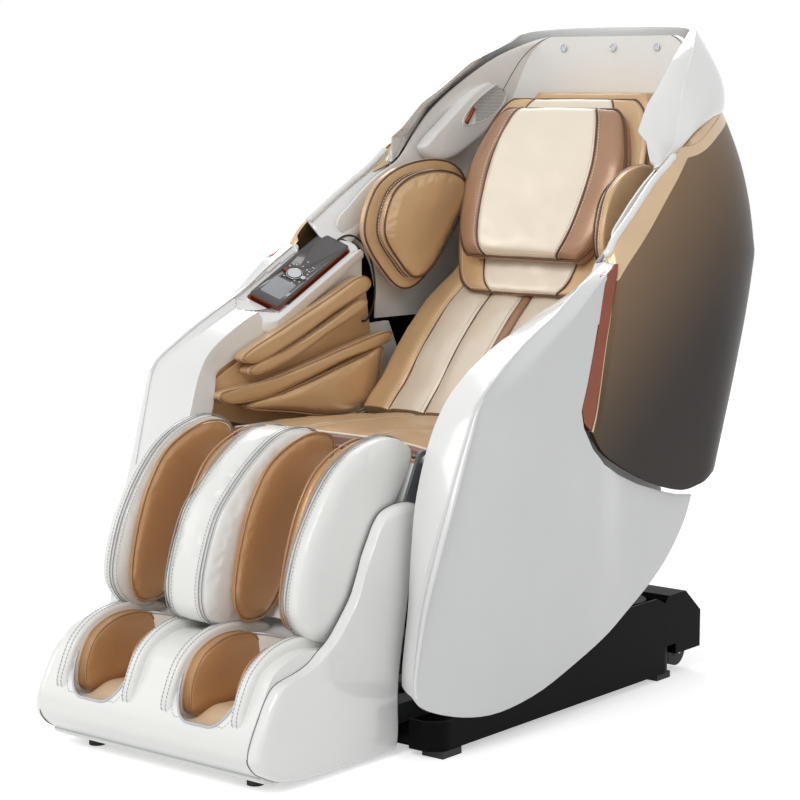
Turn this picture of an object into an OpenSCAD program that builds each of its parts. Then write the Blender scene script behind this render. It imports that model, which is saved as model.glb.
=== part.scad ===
// Reclining massage chair with a zero-gravity tilt, a reclining backrest, a lifting
// calf rest, a sliding foot massager and a roller carriage in the back.
// X runs across the chair (the sitter's left is +X), the front is -Y, up is +Z.
// The origin is on the floor under the middle of the chair.

/* [Body] */
// Width across the two side panels
chair_w = 780; // [760:10:800]
// Thickness of the moulded shells
shell_t = 6; // [4:1:8]
// Width between the inner faces of the arms
arm_gap = 580; // [560:10:590]

/* [Base] */
// Width of the floor base
base_w = 654; // [620:2:660]
// Height of the base tray above its underside
tray_h = 50; // [40:2:54]
// Height of the rubber feet
foot_h = 12; // [8:1:12]
// Radius of the transport wheels
wheel_r = 30; // [24:1:32]

/* [Steel] */
// Wall of the square tubes
tube_wall = 2; // [1.5:0.5:3]
// Thickness of the steel side plates
plate_t = 6; // [5:0.5:6]
// Radius of the tilt pivot pins
tilt_pin_r = 9; // [8:0.5:10]
// Radius of the recline and knee pins
pin_r = 7; // [6:0.5:8]
// Radial clearance of a pin in its bore
fit = 0.08; // [0.05:0.01:0.1]
// Gap round the remote dock in the arm
gap = 0.3; // [0.2:0.1:1]

/* [Upholstery] */
// Thickness of the back cushion
back_t = 42; // [30:2:44]
// Depth of the sewn channels in the back and seat cushions
channel_d = 7; // [3:1:9]

/* [Rollers] */
// Radius of the massage rollers in the back
roller_r = 28; // [24:1:30]

/* [Hidden] */
$fn = 48;
side_x = chair_w / 2;
arm_x = arm_gap / 2;

// Axes of the hinges, as [y, z]
tilt_axis = [265, 128];
recline_axis = [125, 420];
knee_axis = [-262, 478];
wheel_axis = [425, foot_h + 24];

// Middle of the pivot towers and thickness of the lugs that run in them
tower_x = 265;
tower_r = 56;
lug_t = 16;
lug_gap = 0.5;

// Colours
pearl = [0.86, 0.86, 0.85];
white = [0.95, 0.95, 0.94];
bronze = [0.64, 0.53, 0.39];
copper = [0.72, 0.38, 0.22];
tan = [0.76, 0.60, 0.43];
cream = [0.88, 0.80, 0.70];
brown = [0.50, 0.36, 0.30];
black = [0.09, 0.09, 0.10];
graphite = [0.25, 0.25, 0.27];
steel = [0.62, 0.64, 0.66];
rubber = [0.12, 0.12, 0.12];

// ---------------------------------------------------------------- helpers
function mix(a, b, t) = a + (b - a) * t;
function clamp(v, lo, hi) = min(max(v, lo), hi);
function smooth(t) = let (c = clamp(t, 0, 1)) c * c * (3 - 2 * c);
function join(lists) = [for (list = lists) each list];
function unit(v) = v / norm(v);

// Point at t (0 to 1) on the smooth curve through the points of p
function hermite(a, b, c, d, t) =
    0.5 * (2 * b + (c - a) * t + (2 * a - 5 * b + 4 * c - d) * t * t
        + (3 * b - a - 3 * c + d) * t * t * t);
function along(p, t) =
    let (last = len(p) - 1,
        s = clamp(t, 0, 1) * last,
        i = min(floor(s), last - 1))
    hermite(p[max(i - 1, 0)], p[i], p[i + 1], p[min(i + 2, last)], s - i);
// The same on the straight-sided chain of points
function chain(p, t) =
    let (last = len(p) - 1, s = clamp(t, 0, 1) * last, i = min(floor(s), last - 1))
    mix(p[i], p[i + 1], s - i);

// Patch between four edge curves: bottom and top run with u, left and right with v
function patch(bottom, top, left, right, u, v) =
    mix(bottom(u), top(u), v) + mix(left(v), right(v), u)
    - mix(mix(bottom(0), bottom(1), u), mix(top(0), top(1), u), v);

// Closed solid between two faces that are functions of u and v, each 0 to 1
module solid(outer, inner, nu, nv) {
    points = join([
        [for (j = [0 : nv], i = [0 : nu]) outer(i / nu, j / nv)],
        [for (j = [0 : nv], i = [0 : nu]) inner(i / nu, j / nv)]
    ]);
    row = nu + 1;
    other = row * (nv + 1);
    rim = join([
        [for (i = [0 : nu - 1]) i],
        [for (j = [0 : nv - 1]) j * row + nu],
        [for (i = [nu : -1 : 1]) nv * row + i],
        [for (j = [nv : -1 : 1]) j * row]
    ]);
    faces = join([
        [for (j = [0 : nv - 1], i = [0 : nu - 1]) let (a = j * row + i)
            each [[a, a + row, a + row + 1], [a, a + row + 1, a + 1]]],
        [for (j = [0 : nv - 1], i = [0 : nu - 1]) let (a = other + j * row + i)
            each [[a, a + row + 1, a + row], [a, a + 1, a + row + 1]]],
        [for (k = [0 : len(rim) - 1]) let (a = rim[k], b = rim[(k + 1) % len(rim)])
            each [[a, b, b + other], [a, b + other, a + other]]]
    ]);
    volume = sum_of([for (f = faces) points[f[0]] * cross(points[f[1]], points[f[2]])]);
    polyhedron(points, volume > 0 ? [for (f = faces) [f[2], f[1], f[0]]] : faces, 8);
}
function sum_of(v) = [for (x = v) 1] * v;

// Height of a crowned face over its oblong, from 0 at the edge to 1 in the middle
function crown(u, v, sharp) =
    let (p = abs(2 * u - 1), q = abs(2 * v - 1))
    pow(max(0, 1 - pow(p, sharp)), 0.5) * pow(max(0, 1 - pow(q, sharp)), 0.5);

module both_sides() {
    children();
    mirror([1, 0, 0]) children();
}
// Extrudes an outline drawn in (y, z) along X from x0 to x1
module slab(x0, x1) {
    translate([x0, 0, 0]) rotate([90, 0, 90]) linear_extrude(x1 - x0) children();
}
// Round bar along X at [y, z]
module bar(axis, x0, x1, r) {
    translate([x0, axis[0], axis[1]]) rotate([0, 90, 0]) cylinder(r = r, h = x1 - x0);
}
// Rectangle with round corners
module round_rect(w, l, r) {
    square([w - 2 * r, l], center = true);
    square([w, l - 2 * r], center = true);
    for (x = [-1, 1], y = [-1, 1])
        translate([x * (w / 2 - r), y * (l / 2 - r)]) circle(r);
}
// Square tube of size [w, l, h] from its corner, open along its longest side
module tube_box(corner, size) {
    big = max(size);
    wall = tube_wall;
    hole = [for (s = size) s == big ? s + 2 : s - 2 * wall];
    shift = [for (s = size) s == big ? -1 : wall];
    difference() {
        translate(corner) cube(size);
        translate(corner + shift) cube(hole);
    }
}

// ---------------------------------------------------------------- side shells
// Front seam of a side panel, from the floor up and back along the arm, as [x, y, z]
seam = [
    [346, -424, 125], [348, -428, 160], [355, -413, 260], [361, -384, 350],
    [367, -351, 441], [372, -318, 533], [374, -290, 593], [368, -221, 640],
    [362, -144, 681], [361, -57, 721], [362, 14, 761], [363, 78, 793]
];
// Edge where the side panel stops below the bronze panel, top to rear, as [y, z]
panel_rear = [
    [66, 787], [34, 772], [19, 699], [5, 649], [-13, 591], [-29, 550], [-22, 520],
    [6, 480], [44, 448], [104, 422], [168, 396], [236, 376], [300, 360], [348, 354]
];
// Bottom edge of the side panel, front to rear, as [y, z]
panel_bottom = [
    [-424, 125], [-392, 98], [-305, 70], [-215, 60], [-110, 74], [-10, 106], [70, 137],
    [140, 172], [205, 206], [252, 236], [293, 272], [328, 314], [348, 354]
];
function crease_z(y) = 590 - 0.536 * (y + 300);
function panel_upper_x(y) =
    y < -150 ? side_x - 2 - 16 * pow((-150 - y) / 140, 1.5)
    : side_x - 2 - 15 * smooth((y - 20) / 110);
function panel_lower_x(y) = min(side_x - 17, side_x - 45 + 0.055 * (y + 420));
function panel_low_z(y) = lookup(y, [for (p = panel_bottom) p]);
function panel_x(y, z) =
    let (t = (z - panel_low_z(y)) / max(60, crease_z(y) - panel_low_z(y)))
    mix(panel_lower_x(y), panel_upper_x(y), pow(clamp(t, 0, 1), 0.8));
seam_yz = function(v) let (p = along(seam, v)) [p.y, p.z];
function panel_yz(u, v) =
    patch(function(s) along(panel_bottom, s), function(s) mix(seam_yz(1), panel_rear[0], s),
        seam_yz, function(s) chain(panel_rear, 1 - s), u, v);
function panel_point(u, v, depth) =
    let (q = panel_yz(u, v), edge = smooth(u / 0.1),
        x = mix(min(panel_x(q.x, q.y), along(seam, v).x), panel_x(q.x, q.y), edge))
    [x - depth, q.x, q.y];

// Inner edge of the arm, matching the seam from the floor up, as [x, y, z]
arm_inner = [
    [271, -367, 123], [271, -365, 160], [271, -351, 250], [271, -344, 335],
    [271, -331, 425], [271, -299, 512], [279, -268, 575], [288, -225, 620],
    [arm_x, -146, 662], [arm_x, -73, 689], [arm_x, 0, 715], [arm_x, 62, 734]
];
arm_rear_seam = [[340, 78, 792], [336, 98, 803], [328, 132, 818]];
arm_rear_inner = [[arm_x, 88, 743], [arm_x, 124, 754], [arm_x, 200, 768]];

module side_shell() {
    solid(function(u, v) panel_point(u, v, 0), function(u, v) panel_point(u, v, shell_t), 12, 14);
}
// Flat inner wall that carries the side panel and runs on below the bronze panel
backing = [
    [-385, 130], [-360, 300], [-290, 540], [-215, 600], [-120, 636], [-40, 672], [60, 720],
    [150, 744], [235, 700], [262, 560], [290, 400], [310, 345], [280, 300], [210, 240], [120, 190],
    [20, 142], [-110, 105], [-260, 95], [-370, 118]
];
module side_backing() {
    slab(330, 336) polygon(backing);
    // raised middle that the copper strip is fixed to
    slab(336, side_x - 28) polygon([
        [-18, 560], [20, 660], [40, 720], [150, 740], [235, 700], [262, 560], [290, 400],
        [230, 402], [150, 428], [60, 470], [0, 520]
    ]);
    slab(side_x - 28, side_x - 13) polygon([[-12, 556], [2, 590], [18, 650], [38, 728],
        [52, 728], [34, 650], [16, 590], [4, 556]]);
}
module left_side_panel() { color(pearl) side_shell(); }
module right_side_panel() { color(pearl) mirror([1, 0, 0]) side_shell(); }
module side_liners() { color(graphite) both_sides() side_backing(); }

// Arm: a moulding from the seam over the top to the inner edge and down inside
arm_h = 58;
arm_seam_line = join([seam, arm_rear_seam]);
arm_inner_line = join([arm_inner, arm_rear_inner]);
arm_crest = 9;    // drop of the flat top behind its raised outer edge
crest_place = 0.2;
function arm_point(u, v, depth) =
    let (a = along(arm_seam_line, v) - [1, 0, 1],
        b = along(arm_inner_line, v),
        turn = smooth((v - 0.35) / 0.25),
        down = [0, arm_h * (1 - turn), -arm_h * turn],
        w = min(u / 0.7, 1),
        drop = arm_crest * (w < crest_place ? w / crest_place : (1 - w) / (1 - crest_place)),
        top = mix(a, b, w) + [0, 4 * sin(180 * w) * (turn - 1), -drop * turn],
        inward = u > 0.7 ? depth * [1, 0, 0] : depth * [0, 1 - turn, -turn])
    top + down * max(0, (u - 0.7) / 0.3) + inward;
module arm_shell() {
    solid(function(u, v) arm_point(u, v, 0), function(u, v) arm_point(u, v, shell_t), 8, 16);
}
module arm_covers() {
    color(white) {
        arm_shell();
        // resize() keeps the cut shell as the one mesh that it is
        resize([0, 0, 0]) difference() {
            mirror([1, 0, 0]) arm_shell();
            on_dock() translate([-4 - gap, -6 - gap, -dock_depth - gap])
                cube([76 + 2 * gap, 236 + 2 * gap, 80]);
        }
    }
}

// Copper strip in the gap between the side panel and the bronze panel
module accent_strips() {
    color(copper) both_sides() slab(side_x - 13, side_x - 4)
        polygon([[80, 792], [38, 774], [23, 699], [9, 649], [-9, 591], [-24, 551], [-18, 528],
            [2, 512], [14, 536], [26, 578], [42, 646], [64, 728]]);
}

// ---------------------------------------------------------------- back shell
// Half width of the back and depth of its rear face at height z
function back_w(z) = lookup(z, [[380, 386], [560, 389], [764, 390], [885, 377], [950, 358],
    [1010, 332], [1060, 305], [1110, 278], [1160, 240], [1215, 180]]) - 390 + side_x;
function back_y(z) = lookup(z, [[380, 490], [535, 588], [702, 678], [764, 700], [800, 700],
    [885, 694], [1000, 683], [1100, 676], [1215, 666]]);
corner_y = 350;
corner_len = 450;
corner_power = 0.6;    // 1 is an ellipse, smaller is squarer
// Point of the back shell at contour place c (its y on the side) and height z
function contour(c, z, depth) =
    c <= corner_y ? [back_w(z) - depth, c]
    : let (phi = min(90, 90 * (c - corner_y) / corner_len),
        w = back_w(z) - depth, l = back_y(z) - depth - corner_y)
    [w * pow(cos(phi), corner_power), corner_y + l * pow(sin(phi), corner_power)];
corner_end = corner_y + 0.62 * corner_len;

bronze_front = [[4, 510], [17, 538], [29, 580], [45, 646], [67.5, 728], [85.5, 800]];
bronze_bottom = [[4, 510], [35, 472], [95, 438], [159, 410], [226, 386], [293, 370], [346, 372],
    [corner_y + 60, 388], [corner_y + 160, 398], [corner_end, 400]];
bronze_top = [[85.5, 800], [109, 828], [169, 868], [231, 908], [295, 946], [361, 990], [424, 1024],
    [corner_y + 160, 1046], [corner_end, 1056]];
bronze_rear = [[corner_end, 400], [corner_end, 1056]];
function bronze_point(u, v, depth) =
    let (q = patch(function(s) along(bronze_bottom, s), function(s) along(bronze_top, s),
            function(s) along(bronze_front, s), function(s) chain(bronze_rear, s), u, v),
        p = contour(q.x, q.y, depth),
        curl = 19 * pow(smooth((v - 0.72) / 0.28), 1.4) * (1 - smooth((u - 0.45) / 0.2))
            + 9 * (1 - smooth(u / 0.06)) * v)
    [p.x - curl, p.y, q.y];
module back_side() {
    solid(function(u, v) bronze_point(u, v, 0), function(u, v) bronze_point(u, v, shell_t + 2), 18, 12);
}
module left_back_panel() { color(bronze) back_side(); }
module right_back_panel() { color(bronze) mirror([1, 0, 0]) back_side(); }

// Rear cover between the two bronze panels
function rear_point(u, v, depth) =
    let (side = 2 * u - 1,
        c = corner_y + corner_len * (1 - 0.372 * abs(side)),
        z = mix(400, 1056, v),
        p = contour(c, z, depth))
    [sign(side) * p.x, p.y, z];
module rear_cover() {
    color(bronze) solid(function(u, v) rear_point(u, v, 0),
        function(u, v) rear_point(u, v, shell_t), 12, 12);
}

// Hood: from the edge of the bronze panels up to its front rim
hood_foot = [[322, 322, 944], [327, 396, 1003], [315, 490, 1034], [276, 586, 1046], [160, 658, 1050],
    [0, 669, 1050]];
hood_rim = [[318, 306, 950], [321, 353, 991], [306, 393, 1049], [278, 453, 1104],
    [246, 530, 1160], [208, 598, 1198], [166, 642, 1209], [84, 660, 1213], [0, 664, 1214]];
function hood_point(u, v, depth) =
    let (side = 2 * u - 1, s = 1 - abs(side),
        a = along(hood_foot, s),
        b = along(hood_rim, s),
        bulge = 20 * sin(180 * pow(v, 0.8)) * smooth(s / 0.3),
        out = [side == 0 ? 0 : 0.7, 0.7, 0.15],
        inward = unit([-1.2 * min(1, (1 - s) * 2.5), -0.9, -0.55]),
        p = mix(a, b, v) + out * bulge + inward * depth)
    [side < 0 ? -p.x : p.x, p.y, p.z];
module hood() {
    color(white) solid(function(u, v) hood_point(u, v, 0),
        function(u, v) hood_point(u, v, shell_t + 4.8), 30, 6);
}

// Liner: the pale inner wall round the upper back, from the arm rear up to the hood rim
liner_front = [[312, 268, 640], [312, 268, 700], [312, 240, 768], [316, 160, 826],
    [312, 200, 870], [308, 262, 915], [300, 326, 950], [296, 372, 1000], [284, 410, 1046],
    [258, 468, 1098], [220, 540, 1150], [180, 600, 1180], [150, 622, 1190]];
liner_corner = [[276, 560, 640], [272, 590, 700], [268, 612, 768], [262, 620, 826],
    [258, 620, 870], [254, 616, 915], [250, 610, 950], [244, 604, 1000], [234, 602, 1046],
    [214, 604, 1098], [190, 608, 1150], [162, 612, 1180], [140, 614, 1190]];
liner_back = [[0, 616, 640], [0, 640, 700], [0, 658, 768], [0, 664, 826], [0, 664, 870],
    [0, 660, 915], [0, 654, 950], [0, 646, 1000], [0, 640, 1046], [0, 636, 1098],
    [0, 632, 1150], [0, 630, 1180], [0, 630, 1190]];
function liner_point(u, v, depth) =
    let (side = 2 * u - 1, s = abs(side),
        a = along(liner_front, v), b = along(liner_corner, v), c = along(liner_back, v),
        k = s > 0.5 ? smooth((s - 0.5) * 2) : 0,
        p = s > 0.5 ? mix(b, a, (s - 0.5) * 2) : mix(c, b, s * 2),
        out = [0.8 * smooth(s * 2), 0.8 * (1 - k), 0] * depth)
    [side < 0 ? -p.x - out.x : p.x + out.x, p.y + out.y, p.z];
module hood_liner() {
    color([0.82, 0.82, 0.80]) solid(function(u, v) liner_point(u, v, 0),
        function(u, v) liner_point(u, v, 5), 16, 16);
}

// Leans a solid drawn on a plane of constant X inward by k for each step rearward of y0
module lean(k, y0) {
    multmatrix([[1, -k, 0, k * y0], [0, 1, 0, 0], [0, 0, 1, 0]]) children();
}

// Speaker pod on the inside of each wing of the hood
module speaker_pods() {
    color(white) both_sides() lean(0.16, 372) stack([for (w = [[0, 1], [10, 1], [22, 0.9]])
        ring(pod_outline, [500, 1040], 284 - w[0], w[1])]);
    // boss behind each shoulder pad
    color(white) both_sides() lean(0.16, 190) stack([for (x = [shoulder_wall + 3 + seat_gap, 321])
        ring(closed([[300, 790], [380, 806], [386, 866], [310, 862]], 10), [340, 830], x, 1)]);
}
pod_outline = [[366, 968], [396, 946], [446, 952], [530, 1000], [574, 1050], [586, 1100],
    [560, 1112], [500, 1086], [420, 1024], [372, 984]];
// Small lamps in the back wall of the hood
module hood_lights() {
    color([0.8, 0.9, 1]) for (p = [[-110, 618.2], [0, 630.6], [110, 618.2]])
        translate([p.x, p.y, 1168]) rotate([90, 0, 0]) cylinder(r = 5, h = 4);
}

// ---------------------------------------------------------------- soft forms
// Ring of an outline in (y, z) at place x, scaled by k about the middle point
function ring(outline, middle, x, k) =
    [for (p = outline) let (q = middle + (p - middle) * k) [x, q.x, q.y]];
// Smooth closed curve through the points, with n points on it
function closed(p, n) =
    let (m = len(p))
    [for (k = [0 : n - 1])
        let (s = k * m / n, i = floor(s))
        hermite(p[(i + m - 1) % m], p[i], p[(i + 1) % m], p[(i + 2) % m], s - i)];
// Triangles across a ring of n points, in a zigzag from its first point to the one opposite
function cap(n) = [for (i = [0 : n - 3]) let (k = floor(i / 2))
    i % 2 == 0 ? [(n - k) % n, k + 1, n - 1 - k] : [k + 1, k + 2, n - 1 - k]];
// Solid through a stack of flat rings; flat ends are one face each
module stack(rings, flat_ends = false) {
    n = len(rings[0]);
    m = len(rings);
    points = join(rings);
    last = (m - 1) * n;
    faces = join([
        flat_ends ? [[for (i = [0 : n - 1]) i]] : [for (t = cap(n)) t],
        flat_ends ? [[for (i = [n - 1 : -1 : 0]) last + i]]
            : [for (t = cap(n)) [last + t[2], last + t[1], last + t[0]]],
        [for (j = [0 : m - 2], i = [0 : n - 1])
            let (a = j * n + i, b = j * n + (i + 1) % n)
            each [[a, a + n, b + n], [a, b + n, b]]]
    ]);
    volume = sum_of([for (j = [0 : m - 2], i = [0 : n - 1])
        let (a = rings[j][i], b = rings[j][(i + 1) % n], c = rings[j + 1][i])
        (a - rings[0][0]) * cross(c - rings[0][0], b - rings[0][0])]);
    polyhedron(points, volume > 0 ? [for (f = faces) [for (k = [len(f) - 1 : -1 : 0]) f[k]]]
        : faces, 8);
}
// Crowned cushion: the outline from x0 to x1, with a crown of height bulge on each face
puff_layers = [[-1, 0.5], [-0.72, 0.78], [-0.25, 0.95], [0, 1]];
module puff(outline, x0, x1, bulge, n = 20) {
    edge = closed(outline, n);
    middle = sum_of(edge) / n;
    stack(join([
        [for (l = puff_layers) ring(edge, middle, x0 + l[0] * bulge, l[1])],
        [for (k = [3 : -1 : 0]) let (l = puff_layers[k])
            ring(edge, middle, x1 - l[0] * bulge, l[1])]
    ]));
}

// Back cushion: channels sewn along the curve of the back
back_line = [[142, 487], [176, 525], [233, 595], [293, 655], [350, 704], [386, 752],
    [408, 805], [438, 880], [475, 965], [492, 1003]];
channel_edges = [-235, -172, -90, -10, 10, 90, 172, 235];
// Height of the cushion's face between its seams at place x, from 0 to 1
function channel_rise(x) =
    let (i = max([for (k = [0 : len(channel_edges) - 2]) x >= channel_edges[k] ? k : 0]),
        t = (x - channel_edges[i]) / (channel_edges[i + 1] - channel_edges[i]))
    pow(max(0, 1 - pow(abs(2 * t - 1), 3)), 0.5);
channel_places = [0, 0.035, 0.1, 0.134, 0.17, 0.24, 0.309, 0.35, 0.41, 0.479, 0.5,
    0.521, 0.59, 0.65, 0.691, 0.76, 0.83, 0.866, 0.9, 0.965, 1];
function back_point(u, v, depth) =
    let (p = along(back_line, v),
        q = along(back_line, min(1, v + 0.02)) - along(back_line, max(0, v - 0.02)),
        normal = unit([-q.y, q.x]),
        narrow = 1 - 0.17 * smooth((v - 0.38) / 0.2) + 0.037 * (1 - smooth((v - 0.06) / 0.1)),
        x = 470 * (chain(channel_places, u) - 0.5),
        dip = channel_d * (1 - channel_rise(x)),
        d = depth > 0 ? depth : dip)
    [x * narrow, p.x - normal.x * d, p.y - normal.y * d];
module back_cushion() {
    color(tan) solid(function(u, v) back_point(u, v, 0),
        function(u, v) back_point(u, v, back_t), 20, 13);
}

// Long pads that hang down the back: a face curve in (y, z), half widths along it, thickness
function hanging(face, half, t, u, v, depth) =
    let (p = along(face, v), side = 2 * u - 1,
        edge = pow(max(0, 1 - pow(abs(side), 4)), 0.5) * pow(max(0, 1 - pow(abs(2 * v - 1), 6)), 0.5),
        q = along(face, min(1, v + 0.02)) - along(face, max(0, v - 0.02)),
        normal = unit([q.y, -q.x]),
        d = depth ? t : t * 0.5 * (1 - edge))
    [lookup(v, half) * side, p.x + normal.x * d, p.y + normal.y * d];
flap_face = [[326, 706], [346, 740], [372, 805], [402, 880], [438, 962], [474, 1040], [488, 1070]];
flap_half = [[0, 122], [0.08, 150], [0.23, 176], [0.45, 197], [0.6, 202], [0.72, 194],
    [0.86, 168], [1, 142]];
module head_flap() {
    color(cream) solid(function(u, v) hanging(flap_face, flap_half, 17, u, v, false),
        function(u, v) hanging(flap_face, flap_half, 17, u, v, true), 10, 8);
}
pillow_face = [[308, 780], [326, 815], [356, 880], [390, 955], [424, 1025], [438, 1056]];
pillow_half = [[0, 126], [0.12, 146], [0.4, 174], [0.6, 178], [0.77, 158], [0.93, 136], [1, 124]];
module head_pillow() {
    color(cream) solid(function(u, v) hanging(pillow_face, pillow_half, 39, u, v, false),
        function(u, v) hanging(pillow_face, pillow_half, 39, u, v, true), 10, 8);
}
function top_x(u, v) = mix(168, 128, v) * (2 * u - 1);
module top_cushion() {
    color(tan) solid(
        function(u, v) [top_x(u, v), 536 - 10 * crown(u, v, 4) + 16 * v, 1016 + 64 * v],
        function(u, v) [top_x(u, v), 641 - 4 * v - mix(29, 22, v) * abs(2 * u - 1), 1016 + 64 * v],
        8, 5);
}

// Shoulder airbags: a flat base pad and a crowned pad on it, each side
shoulder_base = [[186, 810], [236, 735], [284, 702], [338, 724], [398, 800], [446, 880], [440, 916],
    [404, 942], [338, 948], [262, 930], [208, 888]];
shoulder_top = [[214, 812], [252, 756], [290, 724], [334, 742], [386, 806], [428, 872], [424, 902],
    [392, 922], [336, 928], [272, 914], [230, 878]];
shoulder_wall = 282;
module shoulder_pads() {
    color(tan) both_sides() lean(0.16, 190) {
        puff(shoulder_base, 268, shoulder_wall, 3, 16);
        puff(shoulder_top, 246, 264.5, 9, 16);
    }
}

// Seat cushion and the panel below its front edge
seat_edges = [-236, -80, 80, 236];
function seat_point(u, v, top) =
    let (x = 472 * (u - 0.5), y = -232 + 352 * v,
        side = pow(abs(2 * u - 1), 4), front = pow(1 - v, 6),
        seam_dip = 4 * exp(-pow((abs(x) - 80) / 12, 2)))
    top ? [x, y, 508 - 16 * side - 20 * front - 22 * v - seam_dip]
    : [x, y, seat_pan_z + seat_gap];
module seat_cushion() {
    color(tan) {
        solid(function(u, v) seat_point(u, v, true), function(u, v) seat_point(u, v, false), 20, 10);
        slab(-232, 232) polygon([[-239, 428], [-232 - seat_gap, 428], [-232 - seat_gap, 476],
            [-239, 472]]);
    }
}

// Arm: two airbag flaps under the cover, a wall pad behind them and a hip pad below
flap_upper = [[-168, 608], [-60, 650], [60, 694], [150, 728], [182, 724], [176, 705], [80, 670],
    [-30, 626], [-130, 595]];
flap_lower = [[-150, 584], [-50, 611], [60, 650], [150, 685], [174, 682], [150, 664], [60, 632],
    [-40, 594], [-132, 573]];
wall_pad_x = arm_x - 1;
seat_gap = 0.3;    // room between a pad and what it rests on
module arm_airbags() {
    color(tan) both_sides() {
        puff(flap_upper, 258, wall_pad_x - seat_gap - 7, 7, 14);
        puff(flap_lower, 256, wall_pad_x - seat_gap - 5, 5, 14);
    }
}
hip_outline = [[-160, 514], [-60, 531], [60, 555], [170, 580], [220, 590], [222, 566], [196, 486],
    [100, 470], [-40, 492]];
hip_wedge = [[-228, 545], [-120, 554], [20, 578], [130, 600], [240, 618], [238, 600], [120, 580],
    [0, 552], [-120, 528], [-206, 527]];
module arm_channel_pads() {
    color(tan) both_sides() {
        puff(hip_outline, 259, wall_pad_x - seat_gap - 7, 7, 14);
        puff(hip_wedge, 257, wall_pad_x - seat_gap - 5, 5, 14);
        slab(wall_pad_x, arm_x + 7.5) polygon([[-250, 500], [-240, 556], [-170, 585], [-60, 628],
            [60, 668], [150, 690], [212, 700], [236, 560], [214, 470], [-100, 470]]);
        slab(arm_x + 7.5, arm_x + 14) polygon([[-250, 500], [-235, 560], [-170, 610], [-60, 650],
            [110, 712], [210, 718], [236, 560], [214, 470], [-100, 470]]);
    }
}

// Calf rest pads
calf_side_outline = [[-283, 470], [-282, 503], [-330, 523], [-391, 515], [-441, 493], [-480, 460],
    [-518, 412], [-548, 356], [-566, 290], [-557, 250], [-522, 220], [-474, 218], [-410, 294],
    [-328, 404]];
calf_middle_outline = [[-300, 500], [-340, 520], [-401, 517], [-463, 485], [-523, 435],
    [-559, 390], [-588, 311], [-588, 256], [-562, 231], [-510, 219], [-457, 226], [-396, 296],
    [-318, 400], [-290, 460]];
calf_bag_outline = [[-300, 496], [-345, 518], [-405, 508], [-462, 478], [-500, 430],
    [-524, 378], [-542, 316], [-546, 265], [-525, 232], [-474, 232], [-440, 264], [-395, 330],
    [-336, 420]];
module calf_pads() {
    color(white) {
        both_sides() puff(calf_side_outline, 189, 221, 5, 22);
        puff(calf_middle_outline, -46, 46, 7, 22);
    }
}
module calf_airbags() {
    color(tan) both_sides() {
        puff(calf_bag_outline, 58.3, 69, 5, 16);
        puff(calf_bag_outline, 168, 178.7, 5, 16);
    }
}

// ---------------------------------------------------------------- floor base
base_front = -345;
base_back = 372;
floor_z = foot_h + 4;
module base_plinth() {
    color(black) difference() {
        translate([0, (base_front + base_back) / 2, foot_h])
            linear_extrude(tray_h) round_rect(base_w, base_back - base_front, 36);
        translate([0, (base_front + base_back) / 2 + 20, floor_z])
            linear_extrude(tray_h) round_rect(base_w - 10, base_back - base_front + 30, 32);
        translate([-134, base_front - 1, foot_h - 1]) cube([2 * 134, 24, tray_h + 2]);
        translate([-268, base_front - 1, foot_h - 1]) cube([2 * 268, 14, tray_h + 2]);
    }
    // cheeks that close the base below the side panels
    color(black) both_sides() slab(base_w / 2 - 5, base_w / 2) polygon([[-300, 61], [-150, 64],
        [-60, 78], [60, 118], [140, 146], [186, 157], [312, 157], [339.7, 144], [339.7, 61]]);
}
// Steel floor frame: two rails, two cross tubes, the foot plate of the tilt actuator
rail_x = 150;
module base_frame() {
    color(steel) {
        for (x = [-1, 1]) difference() {
            tube_box([x * rail_x - 20, -300, floor_z], [40, 745, 34]);
            bar(wheel_axis, x * rail_x - 21, x * rail_x + 21, 6);
        }
        tube_box([-rail_x + 20, -300, floor_z], [2 * rail_x - 40, 30, 30]);
        tube_box([-rail_x + 20, 330, floor_z], [2 * rail_x - 40, 30, 30]);
    }
}
module pivot_towers() {
    color(black) both_sides() difference() {
        translate([tower_x, tilt_axis[0], floor_z]) cylinder(r = tower_r, h = 158 - floor_z);
        translate([tower_x - lug_t / 2 - lug_gap, tilt_axis[0] - 60, 80])
            cube([lug_t + 2 * lug_gap, 120, 100]);
        bar(tilt_axis, tower_x - 70, tower_x + 40, tilt_pin_r);
    }
}
housing_outline = [[340, 62], [340, 148], [350, 157], [408, 157], [460, 112], [460, 42], [376, 42],
    [376, 62]];
housing_hollow = [[344, 61], [344, 146], [352, 153], [406, 153], [456, 110], [456, 41], [380, 41],
    [380, 61]];
inlet_x = -220;
switch_x = -150;
module rear_housing() {
    color(black) difference() {
        slab(-base_w / 2, base_w / 2) polygon(housing_outline);
        slab(-base_w / 2 + 4, base_w / 2 - 4) polygon(housing_hollow);
        translate([inlet_x - 14, 450, 66]) cube([28, 20, 22]);
        translate([switch_x - 13, 450, 68]) cube([26, 20, 18]);
        for (x = [-rail_x, rail_x]) translate([x - 21, 300, floor_z - 1]) cube([42, 100, 36]);
    }
}
module base_feet() {
    color(rubber) {
        for (x = [-306, 306]) translate([x - 22, -330, 0]) cube([44, 50, foot_h]);
        for (x = [-306, 306]) translate([x - 18, 318, 0]) cube([36, 44, foot_h]);
    }
}
// Pins of the base: tilt pivots, wheel axle and the pin of the switch
module base_pins() {
    color(steel) {
        both_sides() bar(tilt_axis, tower_x - 44, tower_x + 36, tilt_pin_r);
        bar(wheel_axis, -304, 304, 6);
        bar(switch_axis, switch_x - 13, switch_x + 13, 2);
    }
}
module transport_wheels() {
    color(graphite) for (x = [-285, 285]) difference() {
        union() {
            bar(wheel_axis, x - 12, x + 12, wheel_r);
            bar(wheel_axis, x - 14, x + 14, 12);
        }
        bar(wheel_axis, x - 20, x + 20, 6 + fit);
    }
}
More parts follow.
